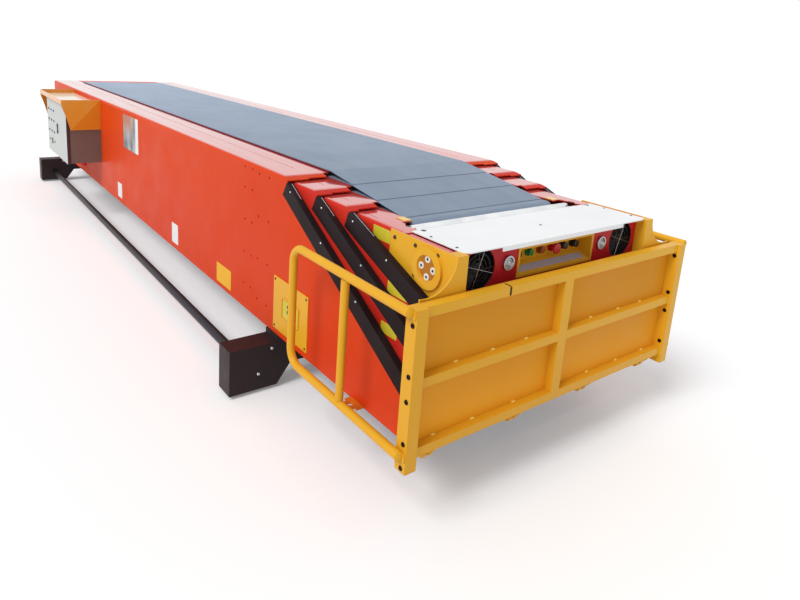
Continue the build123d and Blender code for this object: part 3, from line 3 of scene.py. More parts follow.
import bpy
import numpy as np
from mathutils import Matrix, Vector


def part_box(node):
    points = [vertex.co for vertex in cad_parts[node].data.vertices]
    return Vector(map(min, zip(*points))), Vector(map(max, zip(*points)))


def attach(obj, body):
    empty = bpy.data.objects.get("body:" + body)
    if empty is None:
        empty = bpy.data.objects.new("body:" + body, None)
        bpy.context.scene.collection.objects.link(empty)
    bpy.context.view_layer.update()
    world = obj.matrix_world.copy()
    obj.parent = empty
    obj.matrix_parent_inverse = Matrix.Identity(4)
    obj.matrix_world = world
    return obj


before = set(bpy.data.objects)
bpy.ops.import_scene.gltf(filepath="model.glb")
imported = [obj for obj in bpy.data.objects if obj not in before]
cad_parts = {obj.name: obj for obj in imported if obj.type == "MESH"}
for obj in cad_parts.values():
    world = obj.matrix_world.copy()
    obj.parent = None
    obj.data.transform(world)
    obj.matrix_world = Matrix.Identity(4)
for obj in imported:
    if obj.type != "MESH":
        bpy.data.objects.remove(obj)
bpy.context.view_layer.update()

bl_info = {
    "name": "Telescopic Belt Conveyor Finish",
    "version": (1, 0, 0),
    "blender": (4, 5, 0),
    "location": "View3D > Sidebar > Conveyor",
    "description": "Paints a telescopic belt conveyor and fits its small trim",
    "category": "Object",
}

SECTIONS = ("base", "boom_1", "boom_2", "boom_3")

# The black nosings: node, body, upper end (x, z) and foot (x, z) of the slanted edge that it
# covers, rivets (x, z) on its side, and the share of its length whose fold carries a painted highlight
NOSES = (
    (
        "base_nosings", "base", (2.050, 0.960), (2.947, 0.442),
        ((2.085, 0.931), (2.338, 0.785), (2.591, 0.638)), 0.09,
    ),
    (
        "boom_1_nosings", "boom_1", (2.240, 0.9423), (2.947, 0.582),
        ((2.286, 0.910), (2.571, 0.765)), 0.14,
    ),
    (
        "boom_2_nosings", "boom_2", (2.430, 0.9226), (2.947, 0.719),
        ((2.463, 0.899), (2.680, 0.815)), 0.26,
    ),
)

# Blank plates on the long sides: name, node that carries it, body, both sides or the right side
# only, and the plate's low x, high x, low z and high z
BLANKS = (
    ("blank_yellow_plate", "base_side_plates", "base", (-1,), (1.312, 1.495, 0.279, 0.383)),
    ("blank_white_label_front", "base_side_plates", "base", (-1,), (0.602, 0.710, 0.288, 0.412)),
    ("blank_white_label_rear", "base_side_plates", "base", (-1,), (-0.640, -0.527, 0.292, 0.405)),
    ("blank_labels_boom_1", "boom_1_side_plates", "boom_1", (-1, 1), (2.707, 2.797, 0.567, 0.608)),
    ("blank_labels_boom_2", "boom_2_side_plates", "boom_2", (-1, 1), (2.693, 2.805, 0.703, 0.747)),
    ("blank_labels_boom_3", "boom_3_side_plates", "boom_3", (-1, 1), (2.545, 2.647, 0.859, 0.907)),
)
# The blank plaque on the base's right side: its low x, high x, low z and high z
PLAQUE = (-0.437, -0.075, 0.706, 0.950)

# Screws and bolts, as (x, z) on the side faces of cheeks and posts, the same on both sides of the
# machine, and as (x, y) on top of the deck
CHEEK_SCREWS = ((2.679, 0.896), (2.791, 0.899), (2.904, 0.897), (2.795, 0.795), (2.871, 0.730))
BOSS_WASHERS = ((2.861, 0.872), (2.832, 0.843), (2.890, 0.841), (2.861, 0.811))
POST_BOLTS = ((3.034, 0.752), (3.034, 0.587), (3.033, 0.503), (3.034, 0.360))
HINGE_BOLTS = ((3.031, 0.275),)
DECK_SCREWS = ((2.803, -0.490), (2.930, -0.490), (2.865, 0.0), (2.803, 0.490), (2.930, 0.490))

# Bolts on the front faces of the right wheel boxes, as (y, z), and mirrored to the left: the rear
# boxes lack the lower bolt, because a shaft ends there
BEAM_BOLTS = (
    ("front_cross_beam", ((-0.724, 0.091), (-0.660, 0.200))),
    ("rear_cross_beam", ((-0.660, 0.200),)),
)

# The cheeks: how far the plain face and the floor of the boss's recess lie inside the boss's rim,
# and the recess's centre (x, z) and radius
CHEEK_INSET = 0.010
RECESS_INSET = 0.007
BOSS_CENTRE = (2.861, 0.841)
RECESS_RADIUS = 0.0445

# The spot lamps: how far reflector and lens sit behind the lamp's front, and the reflector's
# profile as (radius, height)
REFLECTOR_INSET = 0.006
LENS_INSET = 0.003
REFLECTOR_STEPS = (
    (0.0215, 0.0), (0.0215, 0.0035), (0.0190, 0.0050), (0.0165, 0.0006), (0.0148, 0.0004),
    (0.0138, 0.0038), (0.0118, 0.0042), (0.0100, 0.0006), (0.0094, 0.0),
)

# The fan guards: radii of the hoops, and how far the first wire of the cross leans from level
GUARD_HOOPS = (0.026, 0.050, 0.073)
GUARD_LEAN = math.radians(72)

# The thin strips beside the deck: x of their ends, how far they keep from the deck's edge and from
# the boss's rim, and how far they lie below the deck's top
EDGE_STRIP_X = (2.700, 2.950)
EDGE_STRIP_FROM_DECK = 0.002
EDGE_STRIP_FROM_RIM = 0.015
EDGE_STRIP_DROP = 0.0085

# The holes at the deck's rear corners, shown as dark discs of painted shade, as (x, y): in boom 3's cover
# and in the deck
COVER_HOLE = (2.655, 0.465)
DECK_HOLE = (2.735, 0.465)

# The button box's sloping panel: how far its front edge, back edge and lower edge lie inside the
# box, and how far it rises; the blank strip's length, the share of the slope that it takes, and
# how far up the slope its middle lies
PANEL_FROM_FRONT = 0.011
PANEL_FROM_BACK = 0.004
PANEL_FROM_FLOOR = 0.011
PANEL_RISE = 0.027
STRIP_LENGTH = 0.372
STRIP_SHARE = 0.52
STRIP_PLACE = 0.32

# The row of button caps reaches this far each way from the middle
CAP_ROW_END = 0.192

# The strips of painted highlight on the nosings' folds: how far they lie inside the nosing's outer face,
# beyond the edge's upper end and out from the edge, and their width
FOLD_INSET = 0.021
FOLD_START = 0.008
FOLD_RISE = 0.003
FOLD_WIDTH = 0.0025

# The handrails: radius of the tube, and x and heights of its open ends, which plugs close
RAIL_TUBE = 0.016
RAIL_END_X = 3.037
RAIL_END_HEIGHTS = (0.326, 0.797)

# The dark plates of painted shade in the slot round the front and the top of the platform's upper rail:
# middle, the direction that its face looks and its length on each face
RAIL_SLOT_WIDTH = 0.006
RAIL_SLOTS = (
    ((3.041, -0.335, 0.7865), (1, 0, 0), 0.030),
    ((3.025, -0.335, 0.803), (0, 0, 1), 0.028),
)

# The cabinet's door: x of the lamps' columns, z of their rows, and the dark slots as width, height
# and middle (x, z)
DOOR_COLUMNS = (-1.846, -1.736, -1.630)
DOOR_ROWS = (0.832, 0.743, 0.648)
DOOR_SLOTS = (
    (0.030, 0.052, (-1.736, 0.561)), (0.022, 0.016, (-1.830, 0.566)), (0.022, 0.016, (-1.630, 0.566)),
)

# The access cover: the dish's corner (x, z) from the cover's, what the dish holds from the dish's
# corner, the latch blank's x from the cover's end, and how far the screws sit in from its edges
DISH_CORNER = (0.087, 0.079)
DISH_SHEET = (0.036, 0.0435)
DISH_LOCKS = ((0.052, 0.064), (0.052, 0.040))
LATCH_X = 0.2245
COVER_SCREW_INSET = 0.014

# How far the floor of the dish, the latch blank and the screws' seat lie inside the cover's face
DISH_DEPTH = 0.004
LATCH_DEPTH = 0.0004
SCREW_SEAT_DEPTH = 0.005

# Short weld beads where the middle and the lower rail meet the platform's floor: z, and each y
WELD_BEADS = (
    (0.5715, (-0.527, -0.356, -0.188, 0.185, 0.364, 0.520)),
    (0.3325, (-0.600, -0.422, -0.217, 0.212, 0.408, 0.597)),
)
BEAD_STANDOFF = 0.002

# The covers' paint reaches this far down from their top
COVER_RIM = 0.0025

# Folds and edges steeper than this stay sharp on the trim
SHARP_EDGE = math.radians(35)

# Sizes of the patterns in millimetres, as they are drawn. Orange peel is really some 3 mm across,
# a powder coat's pebbles 0.5 mm, the belt's threads 1.2 mm, tool lines 0.2 mm and the grain of
# moulded plastic 0.3 mm: they are drawn coarser so that they show.
TONE_DRIFT = 1100.0
PAINT_CLOUDS = 70.0
GLOSS_CLOUDS = 180.0
ORANGE_PEEL = 6.0
PEBBLES = 2.5
THREADS = 6.0
TOOL_LINES = 1.5
PLASTIC_GRAIN = 1.5
ZINC_CRYSTALS = 25.0

# The camera as worked out from the photograph: its right, up and back directions, place, lens in
# millimetres and shift
CAMERA_AXES = ((0.5855, 0.8083, 0.0619), (-0.2197, 0.0847, 0.9719), (0.7803, -0.5826, 0.2272))
CAMERA_PLACE = (4.315, -1.870, 1.538)
CAMERA_LENS = 28.34
CAMERA_SHIFT = (0.0325, -0.1334)

# The floor reaches this far each way, and lies this far under the wheels
FLOOR_REACH = 60.0
FLOOR_GAP = 0.001

# The soft key light: where it stands, the direction from the part towards it, strength and spread
KEY_PLACE = (0.5, -3.3, 3.7)
KEY_DIRECTION = (0.10, -0.66, 0.74)
KEY_STRENGTH = 1.75
KEY_SPREAD = math.radians(24)

# Strength of the light from all round, and the floor's own glow as the camera sees it
WORLD_LIGHT = 0.57
FLOOR_GLOW = 0.15


def linear(code):
    """An sRGB hex colour as linear red, green and blue."""
    srgb = np.array([int(code[i:i + 2], 16) for i in (1, 3, 5)]) / 255
    return tuple(np.where(srgb <= 0.04045, srgb / 12.92, ((srgb + 0.055) / 1.055) ** 2.4))


def colour(label, code, description):
    """A colour in the sidebar, with a hex colour as its default."""
    return bpy.props.FloatVectorProperty(
        name=label, description=description, subtype="COLOR", size=3, min=0, max=1, default=linear(code)
    )


def length(label, metres, description):
    """A length in the sidebar, with its default in metres."""
    return bpy.props.FloatProperty(
        name=label, description=description, unit="LENGTH", subtype="DISTANCE", min=0.0, default=metres
    )


class ConveyorColours(bpy.types.PropertyGroup):
    """Colours of the conveyor's paints and plastics."""

    orange_red: colour("Side paint", "#DA4614", "Gloss enamel of the base's side plates")
    side_deep: colour("Side paint, thick", "#D43F15", "The same enamel where its coat is thicker")
    boom_red: colour("Boom paint", "#D0331F", "Gloss enamel of the booms' side plates")
    boom_deep: colour("Boom paint, thick", "#C42A22", "The same enamel where its coat is thicker")
    cover_red: colour("Cover paint", "#D44C46", "Deep gloss enamel of the top covers")
    shade_red: colour("Tray paint", "#C22228", "Gloss enamel of the tip's wall")
    # the slider beds' dark maroon is painted shade, for the shade in the gaps between the belt and the
    # covers
    bed_shade_maroon: colour("Bed paint", "#7A1A22", "Dark enamel of the slider beds under the belts")
    yellow: colour("Yellow paint", "#E9B02A", "Gloss enamel of the platform and the tip")
    floor_yellow: colour("Platform floor", "#DD951F", "Gloss enamel of the platform's floor plate")
    hood_yellow: colour("Hood paint", "#E89A28", "Gloss enamel of the cabinet's hood")
    umber: colour("Beam paint", "#332729", "Nearly black enamel of the beams")
    belt: colour("Belt", "#77879B", "Top coat of the belt")
    deck_white: colour("Deck paint", "#F3F5F6", "Satin paint of the deck plate")
    door_grey: colour("Door paint", "#C4C8C5", "Powder coat of the cabinet's door")
    cabinet_brown: colour("Cabinet paint", "#7B6860", "Powder coat of the cabinet's sides")
    label_yellow: colour("Blank labels", "#CFC02F", "Blank greenish yellow label foil")
    nosing_black: colour("Nosing paint", "#271C1F", "Nearly black enamel of the slanted nosings")
    cream: colour("End plate paint", "#F2CE6E", "Pale yellow enamel of the plates beside the belt's end")
    label_white: colour("White labels", "#E4E5E6", "Blank white label foil")


class ConveyorSizes(bpy.types.PropertyGroup):
    """Sizes of the conveyor's small trim."""

    screw_radius: length("Screw head", 0.0075, "Radius of the button-head screws")
    screw_height: length("Screw head height", 0.0045, "Height of the button-head screws")
    bolt_radius: length("Platform bolt", 0.0085, "Radius of the platform's dark bolts")
    rivet_radius: length("Rivet", 0.0042, "Radius of the nosings' bright rivets")
    washer_radius: length("Washer", 0.0125, "Radius of the white washers in the bosses")
    washer_bore: length("Washer bore", 0.0052, "Radius of the washers' bores")
    guard_wire: length("Guard wire", 0.0008, "Radius of the fan guards' wires")
    foil: length("Foil", 0.0006, "Thickness of the blank labels")
    plate: length("Small plates", 0.002, "Thickness of the plaque and the blank plates")
    bead_length: length("Weld bead", 0.022, "Length of the platform's short weld beads")
    bead_radius: length("Weld bead radius", 0.0045, "Half the width of a weld bead")


def settings():
    """The colours and the sizes that the sidebar shows."""
    return bpy.context.scene.conveyor_colours, bpy.context.scene.conveyor_sizes


def add_node(tree, kind, values=None, sockets=None):
    """Adds a node, sets its values, and sets or links its sockets: a link is a (node, output) pair."""
    node = tree.nodes.new(kind)
    for key, value in (values or {}).items():
        setattr(node, key, value)
    for key, value in (sockets or {}).items():
        if isinstance(value, tuple) and isinstance(value[0], bpy.types.Node):
            tree.links.new(value[0].outputs[value[1]], node.inputs[key])
        else:
            node.inputs[key].default_value = value
    return node


def rgba(value):
    """A colour with full opacity."""
    return (*tuple(value)[:3], 1.0)


def new_material(name):
    """A new material, its node tree and its shader."""
    material = bpy.data.materials.new(name)
    material.use_nodes = True
    tree = material.node_tree
    return material, tree, tree.nodes["Principled BSDF"]


def patches(tree, millimetres, low, high, stretch=(1.0, 1.0, 1.0), detail=3.0):
    """A value that wanders from low to high over patches about that many millimetres across, and
    longer along an axis whose stretch is under 1."""
    place = add_node(tree, "ShaderNodeTexCoord")
    drawn_out = add_node(
        tree, "ShaderNodeMapping", None, {"Vector": (place, "Object"), "Scale": stretch}
    )
    clouds = add_node(
        tree, "ShaderNodeTexNoise", None,
        {
            "Vector": (drawn_out, "Vector"), "Scale": 1000.0 / millimetres, "Detail": detail,
            "Roughness": 0.55,
        },
    )
    # most of a noise texture's values lie between 0.34 and 0.66
    spread = add_node(
        tree, "ShaderNodeMapRange", None,
        {"Value": (clouds, "Fac"), "From Min": 0.34, "From Max": 0.66, "To Min": low, "To Max": high},
    )
    return spread, "Result"


def along(tree, axis, start, end, first, last):
    """A value that goes from first to last between two places on one axis of the part."""
    place = add_node(tree, "ShaderNodeTexCoord")
    axes = add_node(tree, "ShaderNodeSeparateXYZ", None, {"Vector": (place, "Object")})
    spread = add_node(
        tree, "ShaderNodeMapRange", None,
        {"Value": (axes, axis), "From Min": start, "From Max": end, "To Min": first, "To Max": last},
    )
    return spread, "Result"


def facing(tree, axis):
    """1 on faces that look along an axis of the part, and 0 elsewhere."""
    place = add_node(tree, "ShaderNodeTexCoord")
    axes = add_node(tree, "ShaderNodeSeparateXYZ", None, {"Vector": (place, "Normal")})
    square_on = add_node(tree, "ShaderNodeMath", {"operation": "GREATER_THAN"}, {0: (axes, axis), 1: 0.9})
    return square_on, "Value"


def seen_or(tree, plain, seen):
    """A value that is one thing for light on the object, and another where the camera, a
    reflection or a clear piece sees it."""
    path = add_node(tree, "ShaderNodeLightPath")
    direct = add_node(
        tree, "ShaderNodeMath", {"operation": "MAXIMUM"},
        {0: (path, "Is Camera Ray"), 1: (path, "Is Glossy Ray")},
    )
    any_way = add_node(
        tree, "ShaderNodeMath", {"operation": "MAXIMUM"},
        {0: (direct, "Value"), 1: (path, "Is Transmission Ray")},
    )
    spread = add_node(
        tree, "ShaderNodeMapRange", None, {"Value": (any_way, "Value"), "To Min": plain, "To Max": seen}
    )
    return spread, "Result"


def drifting(tree, main, deep):
    """A paint that drifts, over a metre or so, to the tone of a thicker coat."""
    wandering = patches(tree, TONE_DRIFT, 0.0, 1.0, stretch=(0.5, 1.0, 1.0), detail=1.5)
    drift = add_node(
        tree, "ShaderNodeMix", {"data_type": "RGBA"},
        {"Factor": wandering, "A": rgba(main), "B": rgba(deep)},
    )
    return drift, "Result"


def lay_finish(tree, shader, paint, lightness, skin=None, strength=0.0, depth=0.0, edge=0.0):
    """Gives the shader a paint whose lightness wanders, and a skin that stands up by a depth over
    sheet edges rounded to a radius."""
    shade = add_node(tree, "ShaderNodeHueSaturation", None, {"Color": paint, "Value": lightness})
    tree.links.new(shade.outputs["Color"], shader.inputs["Base Color"])
    if skin:
        relief = add_node(
            tree, "ShaderNodeBump", None, {"Strength": strength, "Distance": depth, "Height": skin}
        )
        tree.links.new(relief.outputs["Normal"], shader.inputs["Normal"])
        if edge:
            rounded = add_node(tree, "ShaderNodeBevel", {"samples": 4}, {"Radius": edge})
            tree.links.new(rounded.outputs["Normal"], relief.inputs["Normal"])


def lay_enamel(tree, shader, paint, lightness):
    """Gives the shader an enamel: a paint with orange peel over rounded sheet edges."""
    peel = patches(tree, ORANGE_PEEL, 0.0, 1.0, detail=1.0)
    lay_finish(tree, shader, paint, lightness, peel, strength=0.05, depth=0.0002, edge=0.002)


def set_finish(tree, shader, **values):
    """Sets the shader's sockets, or links them where a value is a pattern."""
    for key, value in values.items():
        socket = shader.inputs[key.replace("_", " ")]
        if isinstance(value, tuple) and isinstance(value[0], bpy.types.Node):
            tree.links.new(value[0].outputs[value[1]], socket)
        else:
            socket.default_value = value


def gloss_enamel(name, main, deep, roughness=0.38, specular=0.22, coat=0.08, top_light=None):
    """Sprayed and baked gloss enamel on sheet steel: wide soft drifts of colour where the coat is
    thicker, orange peel a few millimetres across that frays the reflections, rounded sheet edges.
    A top light is a pale colour on the faces that look up: a painted highlight."""
    material, tree, shader = new_material(name)
    paint = drifting(tree, main, deep)
    # the faces that look up take the pale colour, a painted highlight
    if top_light:
        top_lit = add_node(
            tree, "ShaderNodeMix", {"data_type": "RGBA"},
            {"Factor": facing(tree, "Z"), "A": paint, "B": rgba(top_light)},
        )
        paint = (top_lit, "Result")
    lay_enamel(tree, shader, paint, patches(tree, PAINT_CLOUDS, 0.985, 1.015, detail=5.0))
    set_finish(
        tree, shader,
        Roughness=patches(tree, GLOSS_CLOUDS, roughness * 0.85, roughness * 1.2, detail=5.0),
        Specular_IOR_Level=specular, Coat_Weight=coat, Coat_Roughness=0.08,
    )
    return material


def panel_enamel(name, main):
    """Gloss enamel of the platform's floor plate, painted paler towards its lower edge as painted light
    bounced from the floor.
    """
    material, tree, shader = new_material(name)
    # painted light: lighter towards the plate's lower edge, as if lit by light bounced from the floor
    graded = along(tree, "Z", start=0.34, end=0.62, first=1.2, last=1.0)
    lay_enamel(tree, shader, rgba(main), graded)
    dulled = patches(tree, GLOSS_CLOUDS, 0.38, 0.54, detail=5.0)
    set_finish(tree, shader, Roughness=dulled, Specular_IOR_Level=0.12)
    return material


def covered_enamel(name, main, deep, cover, cover_z, gloss):
    """Gloss enamel of a section: its flat covers, from just under cover_z up, carry a deep, thick,
    polished coat that mirrors the room at a low angle, with rubbed streaks along the travel, and
    its sides a plainer one. Gloss is the coat's IOR."""
    material, tree, shader = new_material(name)
    place = add_node(tree, "ShaderNodeTexCoord")
    axes = add_node(tree, "ShaderNodeSeparateXYZ", None, {"Vector": (place, "Object")})
    top = add_node(
        tree, "ShaderNodeMath", {"operation": "GREATER_THAN"}, {0: (axes, "Z"), 1: cover_z - COVER_RIM}
    )
    on_top = (top, "Value")
    painted = add_node(
        tree, "ShaderNodeMix", {"data_type": "RGBA"},
        {"Factor": on_top, "A": drifting(tree, main, deep), "B": rgba(cover)},
    )
    clouds = patches(tree, PAINT_CLOUDS, 0.985, 1.015, detail=5.0)
    lay_enamel(tree, shader, (painted, "Result"), clouds)
    graded = add_node(
        tree, "ShaderNodeMix", None,
        {
            "Factor": on_top, "A": patches(tree, GLOSS_CLOUDS, 0.33, 0.46, detail=5.0),
            "B": patches(tree, 45.0, 0.10, 0.30, stretch=(0.08, 1.0, 1.0), detail=6.0),
        },
    )
    coat = add_node(tree, "ShaderNodeMix", None, {"Factor": on_top, "A": 0.0, "B": 1.0})
    set_finish(
        tree, shader, Roughness=(graded, "Result"), Coat_Weight=(coat, "Result"),
        Specular_IOR_Level=0.06, Coat_IOR=gloss, Coat_Roughness=0.06,
    )
    return material


def powder_coat(name, main, roughness=0.42, specular=0.35, edge=None):
    """Powder coat: an even colour with a fine pebbled skin and a broad soft sheen. An edge is a
    darker colour of painted shade on the faces that look forwards."""
    material, tree, shader = new_material(name)
    paint = rgba(main)
    # the faces that look forwards take the edge colour, a painted shade
    if edge:
        shaded_edge = add_node(
            tree, "ShaderNodeMix", {"data_type": "RGBA"},
            {"Factor": facing(tree, "X"), "A": paint, "B": rgba(edge)},
        )
        paint = (shaded_edge, "Result")
    lay_finish(
        tree, shader, paint, patches(tree, 240.0, 0.975, 1.02, detail=4.0),
        patches(tree, PEBBLES, 0.0, 1.0), strength=0.15, depth=0.0002, edge=0.0015,
    )
    set_finish(tree, shader, Roughness=roughness, Specular_IOR_Level=specular)
    return material


def belt_fabric(name, main):
    """PVC-coated conveyor fabric: painted paler towards its rear as a painted grazing sheen, long
    faint scuffs along the travel, soft cloudy smudges, and a fine weave pressed through the coat."""
    material, tree, shader = new_material(name)
    smudged = add_node(
        tree, "ShaderNodeMath", {"operation": "MULTIPLY"},
        {
            0: patches(tree, 55.0, 0.965, 1.03, stretch=(0.03, 1.0, 1.0), detail=4.0),
            1: patches(tree, 420.0, 0.94, 1.05, stretch=(0.6, 1.0, 1.0)),
        },
    )
    # painted sheen: the belt is lightened towards its rear, where it is seen at a grazing angle
    grazing_sheen = along(tree, "X", start=-2.85, end=2.6, first=1.68, last=1.04)
    smudged_and_sheened = add_node(
        tree, "ShaderNodeMath", {"operation": "MULTIPLY"}, {0: (smudged, "Value"), 1: grazing_sheen}
    )
    # a wave texture of scale 1 has a period of 2 pi / 20, so this scale sets its period in metres
    thread_scale = 1000.0 / (THREADS * 20.0) * 6.2832
    place = add_node(tree, "ShaderNodeTexCoord")
    warp, weft = [
        add_node(
            tree, "ShaderNodeTexWave", {"bands_direction": direction},
            {"Vector": (place, "Object"), "Scale": thread_scale, "Distortion": 0.3},
        )
        for direction in ("X", "Y")
    ]
    weave = add_node(tree, "ShaderNodeMath", {"operation": "ADD"}, {0: (warp, "Fac"), 1: (weft, "Fac")})
    lay_finish(
        tree, shader, rgba(main), (smudged_and_sheened, "Value"), (weave, "Value"), strength=0.08, depth=0.0004
    )
    set_finish(
        tree, shader, Roughness=patches(tree, 200.0, 0.50, 0.62, detail=4.0),
        Specular_IOR_Level=0.45, Sheen_Weight=0.1,
    )
    return material


def machined_steel(name, code, roughness=0.32):
    """Turned or drawn bright steel: fine tool lines round or along the piece, faint oil clouds."""
    material, tree, shader = new_material(name)
    lay_finish(
        tree, shader, rgba(linear(code)), patches(tree, 120.0, 0.9, 1.05, detail=4.0),
        patches(tree, TOOL_LINES, 0.0, 1.0, stretch=(0.05, 1.0, 1.0), detail=2.0), strength=0.08,
        depth=0.0003,
    )
    set_finish(tree, shader, Metallic=1.0, Roughness=roughness)
    return material


def galvanised_steel(name):
    """Hot-dip zinc on sheet: wide crystals, each a slightly different grey."""
    material, tree, shader = new_material(name)
    place = add_node(tree, "ShaderNodeTexCoord")
    crystals = add_node(
        tree, "ShaderNodeTexVoronoi", None, {"Vector": (place, "Object"), "Scale": 1000.0 / ZINC_CRYSTALS}
    )
    grey = add_node(tree, "ShaderNodeSeparateColor", None, {"Color": (crystals, "Color")})
    value = add_node(
        tree, "ShaderNodeMapRange", None, {"Value": (grey, "Red"), "To Min": 0.82, "To Max": 1.05}
    )
    lay_finish(tree, shader, rgba(linear("#A9ADB0")), (value, "Result"))
    set_finish(tree, shader, Metallic=1.0, Roughness=0.48)
    return material


def moulded_plastic(name, code, roughness=0.38):
    """Injection-moulded ABS or nylon with a fine spark-eroded grain."""
    material, tree, shader = new_material(name)
    lay_finish(
        tree, shader, rgba(linear(code)), patches(tree, 50.0, 0.94, 1.05),
        patches(tree, PLASTIC_GRAIN, 0.0, 1.0, detail=2.0), strength=0.1, depth=0.0002,
    )
    set_finish(tree, shader, Roughness=roughness, Specular_IOR_Level=0.4)
    return material


def button_caps(name):
    """Moulded button caps in six colours, which change with their place across the box."""
    material, tree, shader = new_material(name)
    across = along(tree, "Y", start=-CAP_ROW_END, end=CAP_ROW_END, first=0.0, last=1.0)
    ramp = add_node(tree, "ShaderNodeValToRGB", None, {"Fac": across})
    ramp.color_ramp.interpolation = "CONSTANT"
    caps = ("#1B1B1E", "#17803F", "#9C4A1C", "#C81F2C", "#33302F", "#1B1B1E")
    stops = ramp.color_ramp.elements
    while len(stops) < len(caps):
        stops.new(0.5)
    for number, code in enumerate(caps):
        stops[number].position = number / len(caps)
        stops[number].color = rgba(linear(code))
    lay_finish(
        tree, shader, (ramp, "Color"), patches(tree, 20.0, 0.97, 1.03),
        patches(tree, PLASTIC_GRAIN, 0.0, 1.0, detail=2.0), strength=0.05, depth=0.0002,
    )
    set_finish(tree, shader, Roughness=0.25)
    return material


def label_foil(name, main, roughness=0.35):
    """Blank self-adhesive vinyl label: even, faintly mottled where air lies under it, glossy."""
    material, tree, shader = new_material(name)
    lay_finish(
        tree, shader, rgba(main), patches(tree, 30.0, 0.95, 1.03, detail=4.0),
        patches(tree, 14.0, 0.0, 1.0, detail=1.0), strength=0.15, depth=0.0003,
    )
    set_finish(tree, shader, Roughness=roughness, Specular_IOR_Level=0.3)
    return material


def wiped_aluminium(name):
    """Blank anodised aluminium plaque, wiped with an oily rag: soft grey swirls over a bright
    plate, a tan stain in its upper rear corner, and a clean bright border at its front."""
    material, tree, shader = new_material(name)
    swirls = patches(tree, 120.0, 0.0, 1.0, stretch=(1.0, 1.0, 0.6), detail=2.5)
    wiped = add_node(
        tree, "ShaderNodeMix", {"data_type": "RGBA"},
        {"Factor": swirls, "A": rgba(linear("#6E7478")), "B": rgba(linear("#C9CDCF"))},
    )
    corner = add_node(
        tree, "ShaderNodeMath", {"operation": "MULTIPLY"},
        {
            0: along(tree, "Z", start=0.80, end=0.90, first=0.0, last=1.0),
            1: along(tree, "X", start=-0.16, end=-0.26, first=0.0, last=1.0),
        },
    )
    stained = add_node(
        tree, "ShaderNodeMix", {"data_type": "RGBA"},
        {"Factor": (corner, "Value"), "A": (wiped, "Result"), "B": rgba(linear("#B4806C"))},
    )
    at_front = along(tree, "X", start=-0.150, end=-0.125, first=0.0, last=1.0)
    border = add_node(
        tree, "ShaderNodeMix", {"data_type": "RGBA"},
        {"Factor": at_front, "A": (stained, "Result"), "B": rgba(linear("#E9ECED"))},
    )
    lay_finish(tree, shader, (border, "Result"), patches(tree, 40.0, 0.97, 1.03))
    set_finish(tree, shader, Roughness=0.35, Specular_IOR_Level=0.3)
    return material


def frames_of(axis):
    """A right-handed frame whose third column is the axis, as a 3 by 3 array."""
    z = np.array(axis, float) / np.linalg.norm(axis)
    helper = np.array([0.0, 0.0, 1.0]) if abs(z[2]) < 0.9 else np.array([1.0, 0.0, 0.0])
    x = np.cross(helper, z)
    x /= np.linalg.norm(x)
    return np.stack([x, np.cross(z, x), z], axis=1)


def turned_rings(profile, around):
    """Rings of a turned form: each (radius, height) pair of the profile swept round the z axis."""
    radius, height = np.array(profile, float).T
    angle = np.linspace(0, 2 * math.pi, around, endpoint=False)
    return np.stack(
        [
            radius[:, None] * np.cos(angle),
            radius[:, None] * np.sin(angle),
            np.repeat(height[:, None], around, axis=1),
        ],
        axis=-1,
    )


def plate_rings(width, height, thickness, corner):
    """Rings of a flat plate: a rounded rectangle, whose corners are quarter circles, carried along
    z with its rim drawn in by two fifths of the thickness at the face."""
    steps = np.linspace(0, math.pi / 2, 5)
    quarter = np.array([0, 1, 2, 3])[:, None] * math.pi / 2 + steps
    centre_x = (width / 2 - corner) * np.array([1, -1, -1, 1])[:, None]
    centre_y = (height / 2 - corner) * np.array([1, 1, -1, -1])[:, None]
    x = (centre_x + corner * np.cos(quarter)).ravel()
    y = (centre_y + corner * np.sin(quarter)).ravel()
    levels = np.array([0.0, 0.6, 1.0]) * thickness
    inset = np.array([0.0, 0.0, 0.4]) * thickness
    scale_x = 1 - 2 * inset / width
    scale_y = 1 - 2 * inset / height
    return np.stack(
        [scale_x[:, None] * x, scale_y[:, None] * y, np.repeat(levels[:, None], x.size, axis=1)], axis=-1
    )


def bead_rings(length, radius):
    """Rings of a weld bead: a spindle whose radius follows the square root of a sine, so that it
    is round at its middle and blunt at its ends."""
    share = np.linspace(0.02, 0.98, 9)
    swell = radius * np.sqrt(np.sin(share * math.pi))
    return turned_rings(np.stack([swell, (share - 0.5) * length], axis=1), 10)


def wire_rings(radius, wire, around):
    """Rings of a wire hoop about the z axis: a small circle carried round the hoop, each in the
    plane of the axis and the spoke."""
    angle = np.linspace(0, 2 * math.pi, around + 1)[:, None]
    turn = np.linspace(0, 2 * math.pi, 6, endpoint=False)
    reach = radius + wire * np.cos(turn)
    return np.stack(
        [
            reach * np.cos(angle), reach * np.sin(angle),
            np.broadcast_to(-wire * np.sin(turn), (around + 1, 6)),
        ],
        axis=-1,
    )


def placed(rings, places, axis):
    """Copies of the rings at each place, with their z axis turned to the given axis."""
    turned = rings @ frames_of(axis).T
    return np.array(places, float)[:, None, None] + turned[None]


def on_sides(rings, rows, face, sides=(-1, 1)):
    """Copies of the rings on the outer faces of the right and left side, at each (x, z)."""
    return np.concatenate(
        [placed(rings, [(x, side * face, z) for x, z in rows], (0, side, 0)) for side in sides]
    )


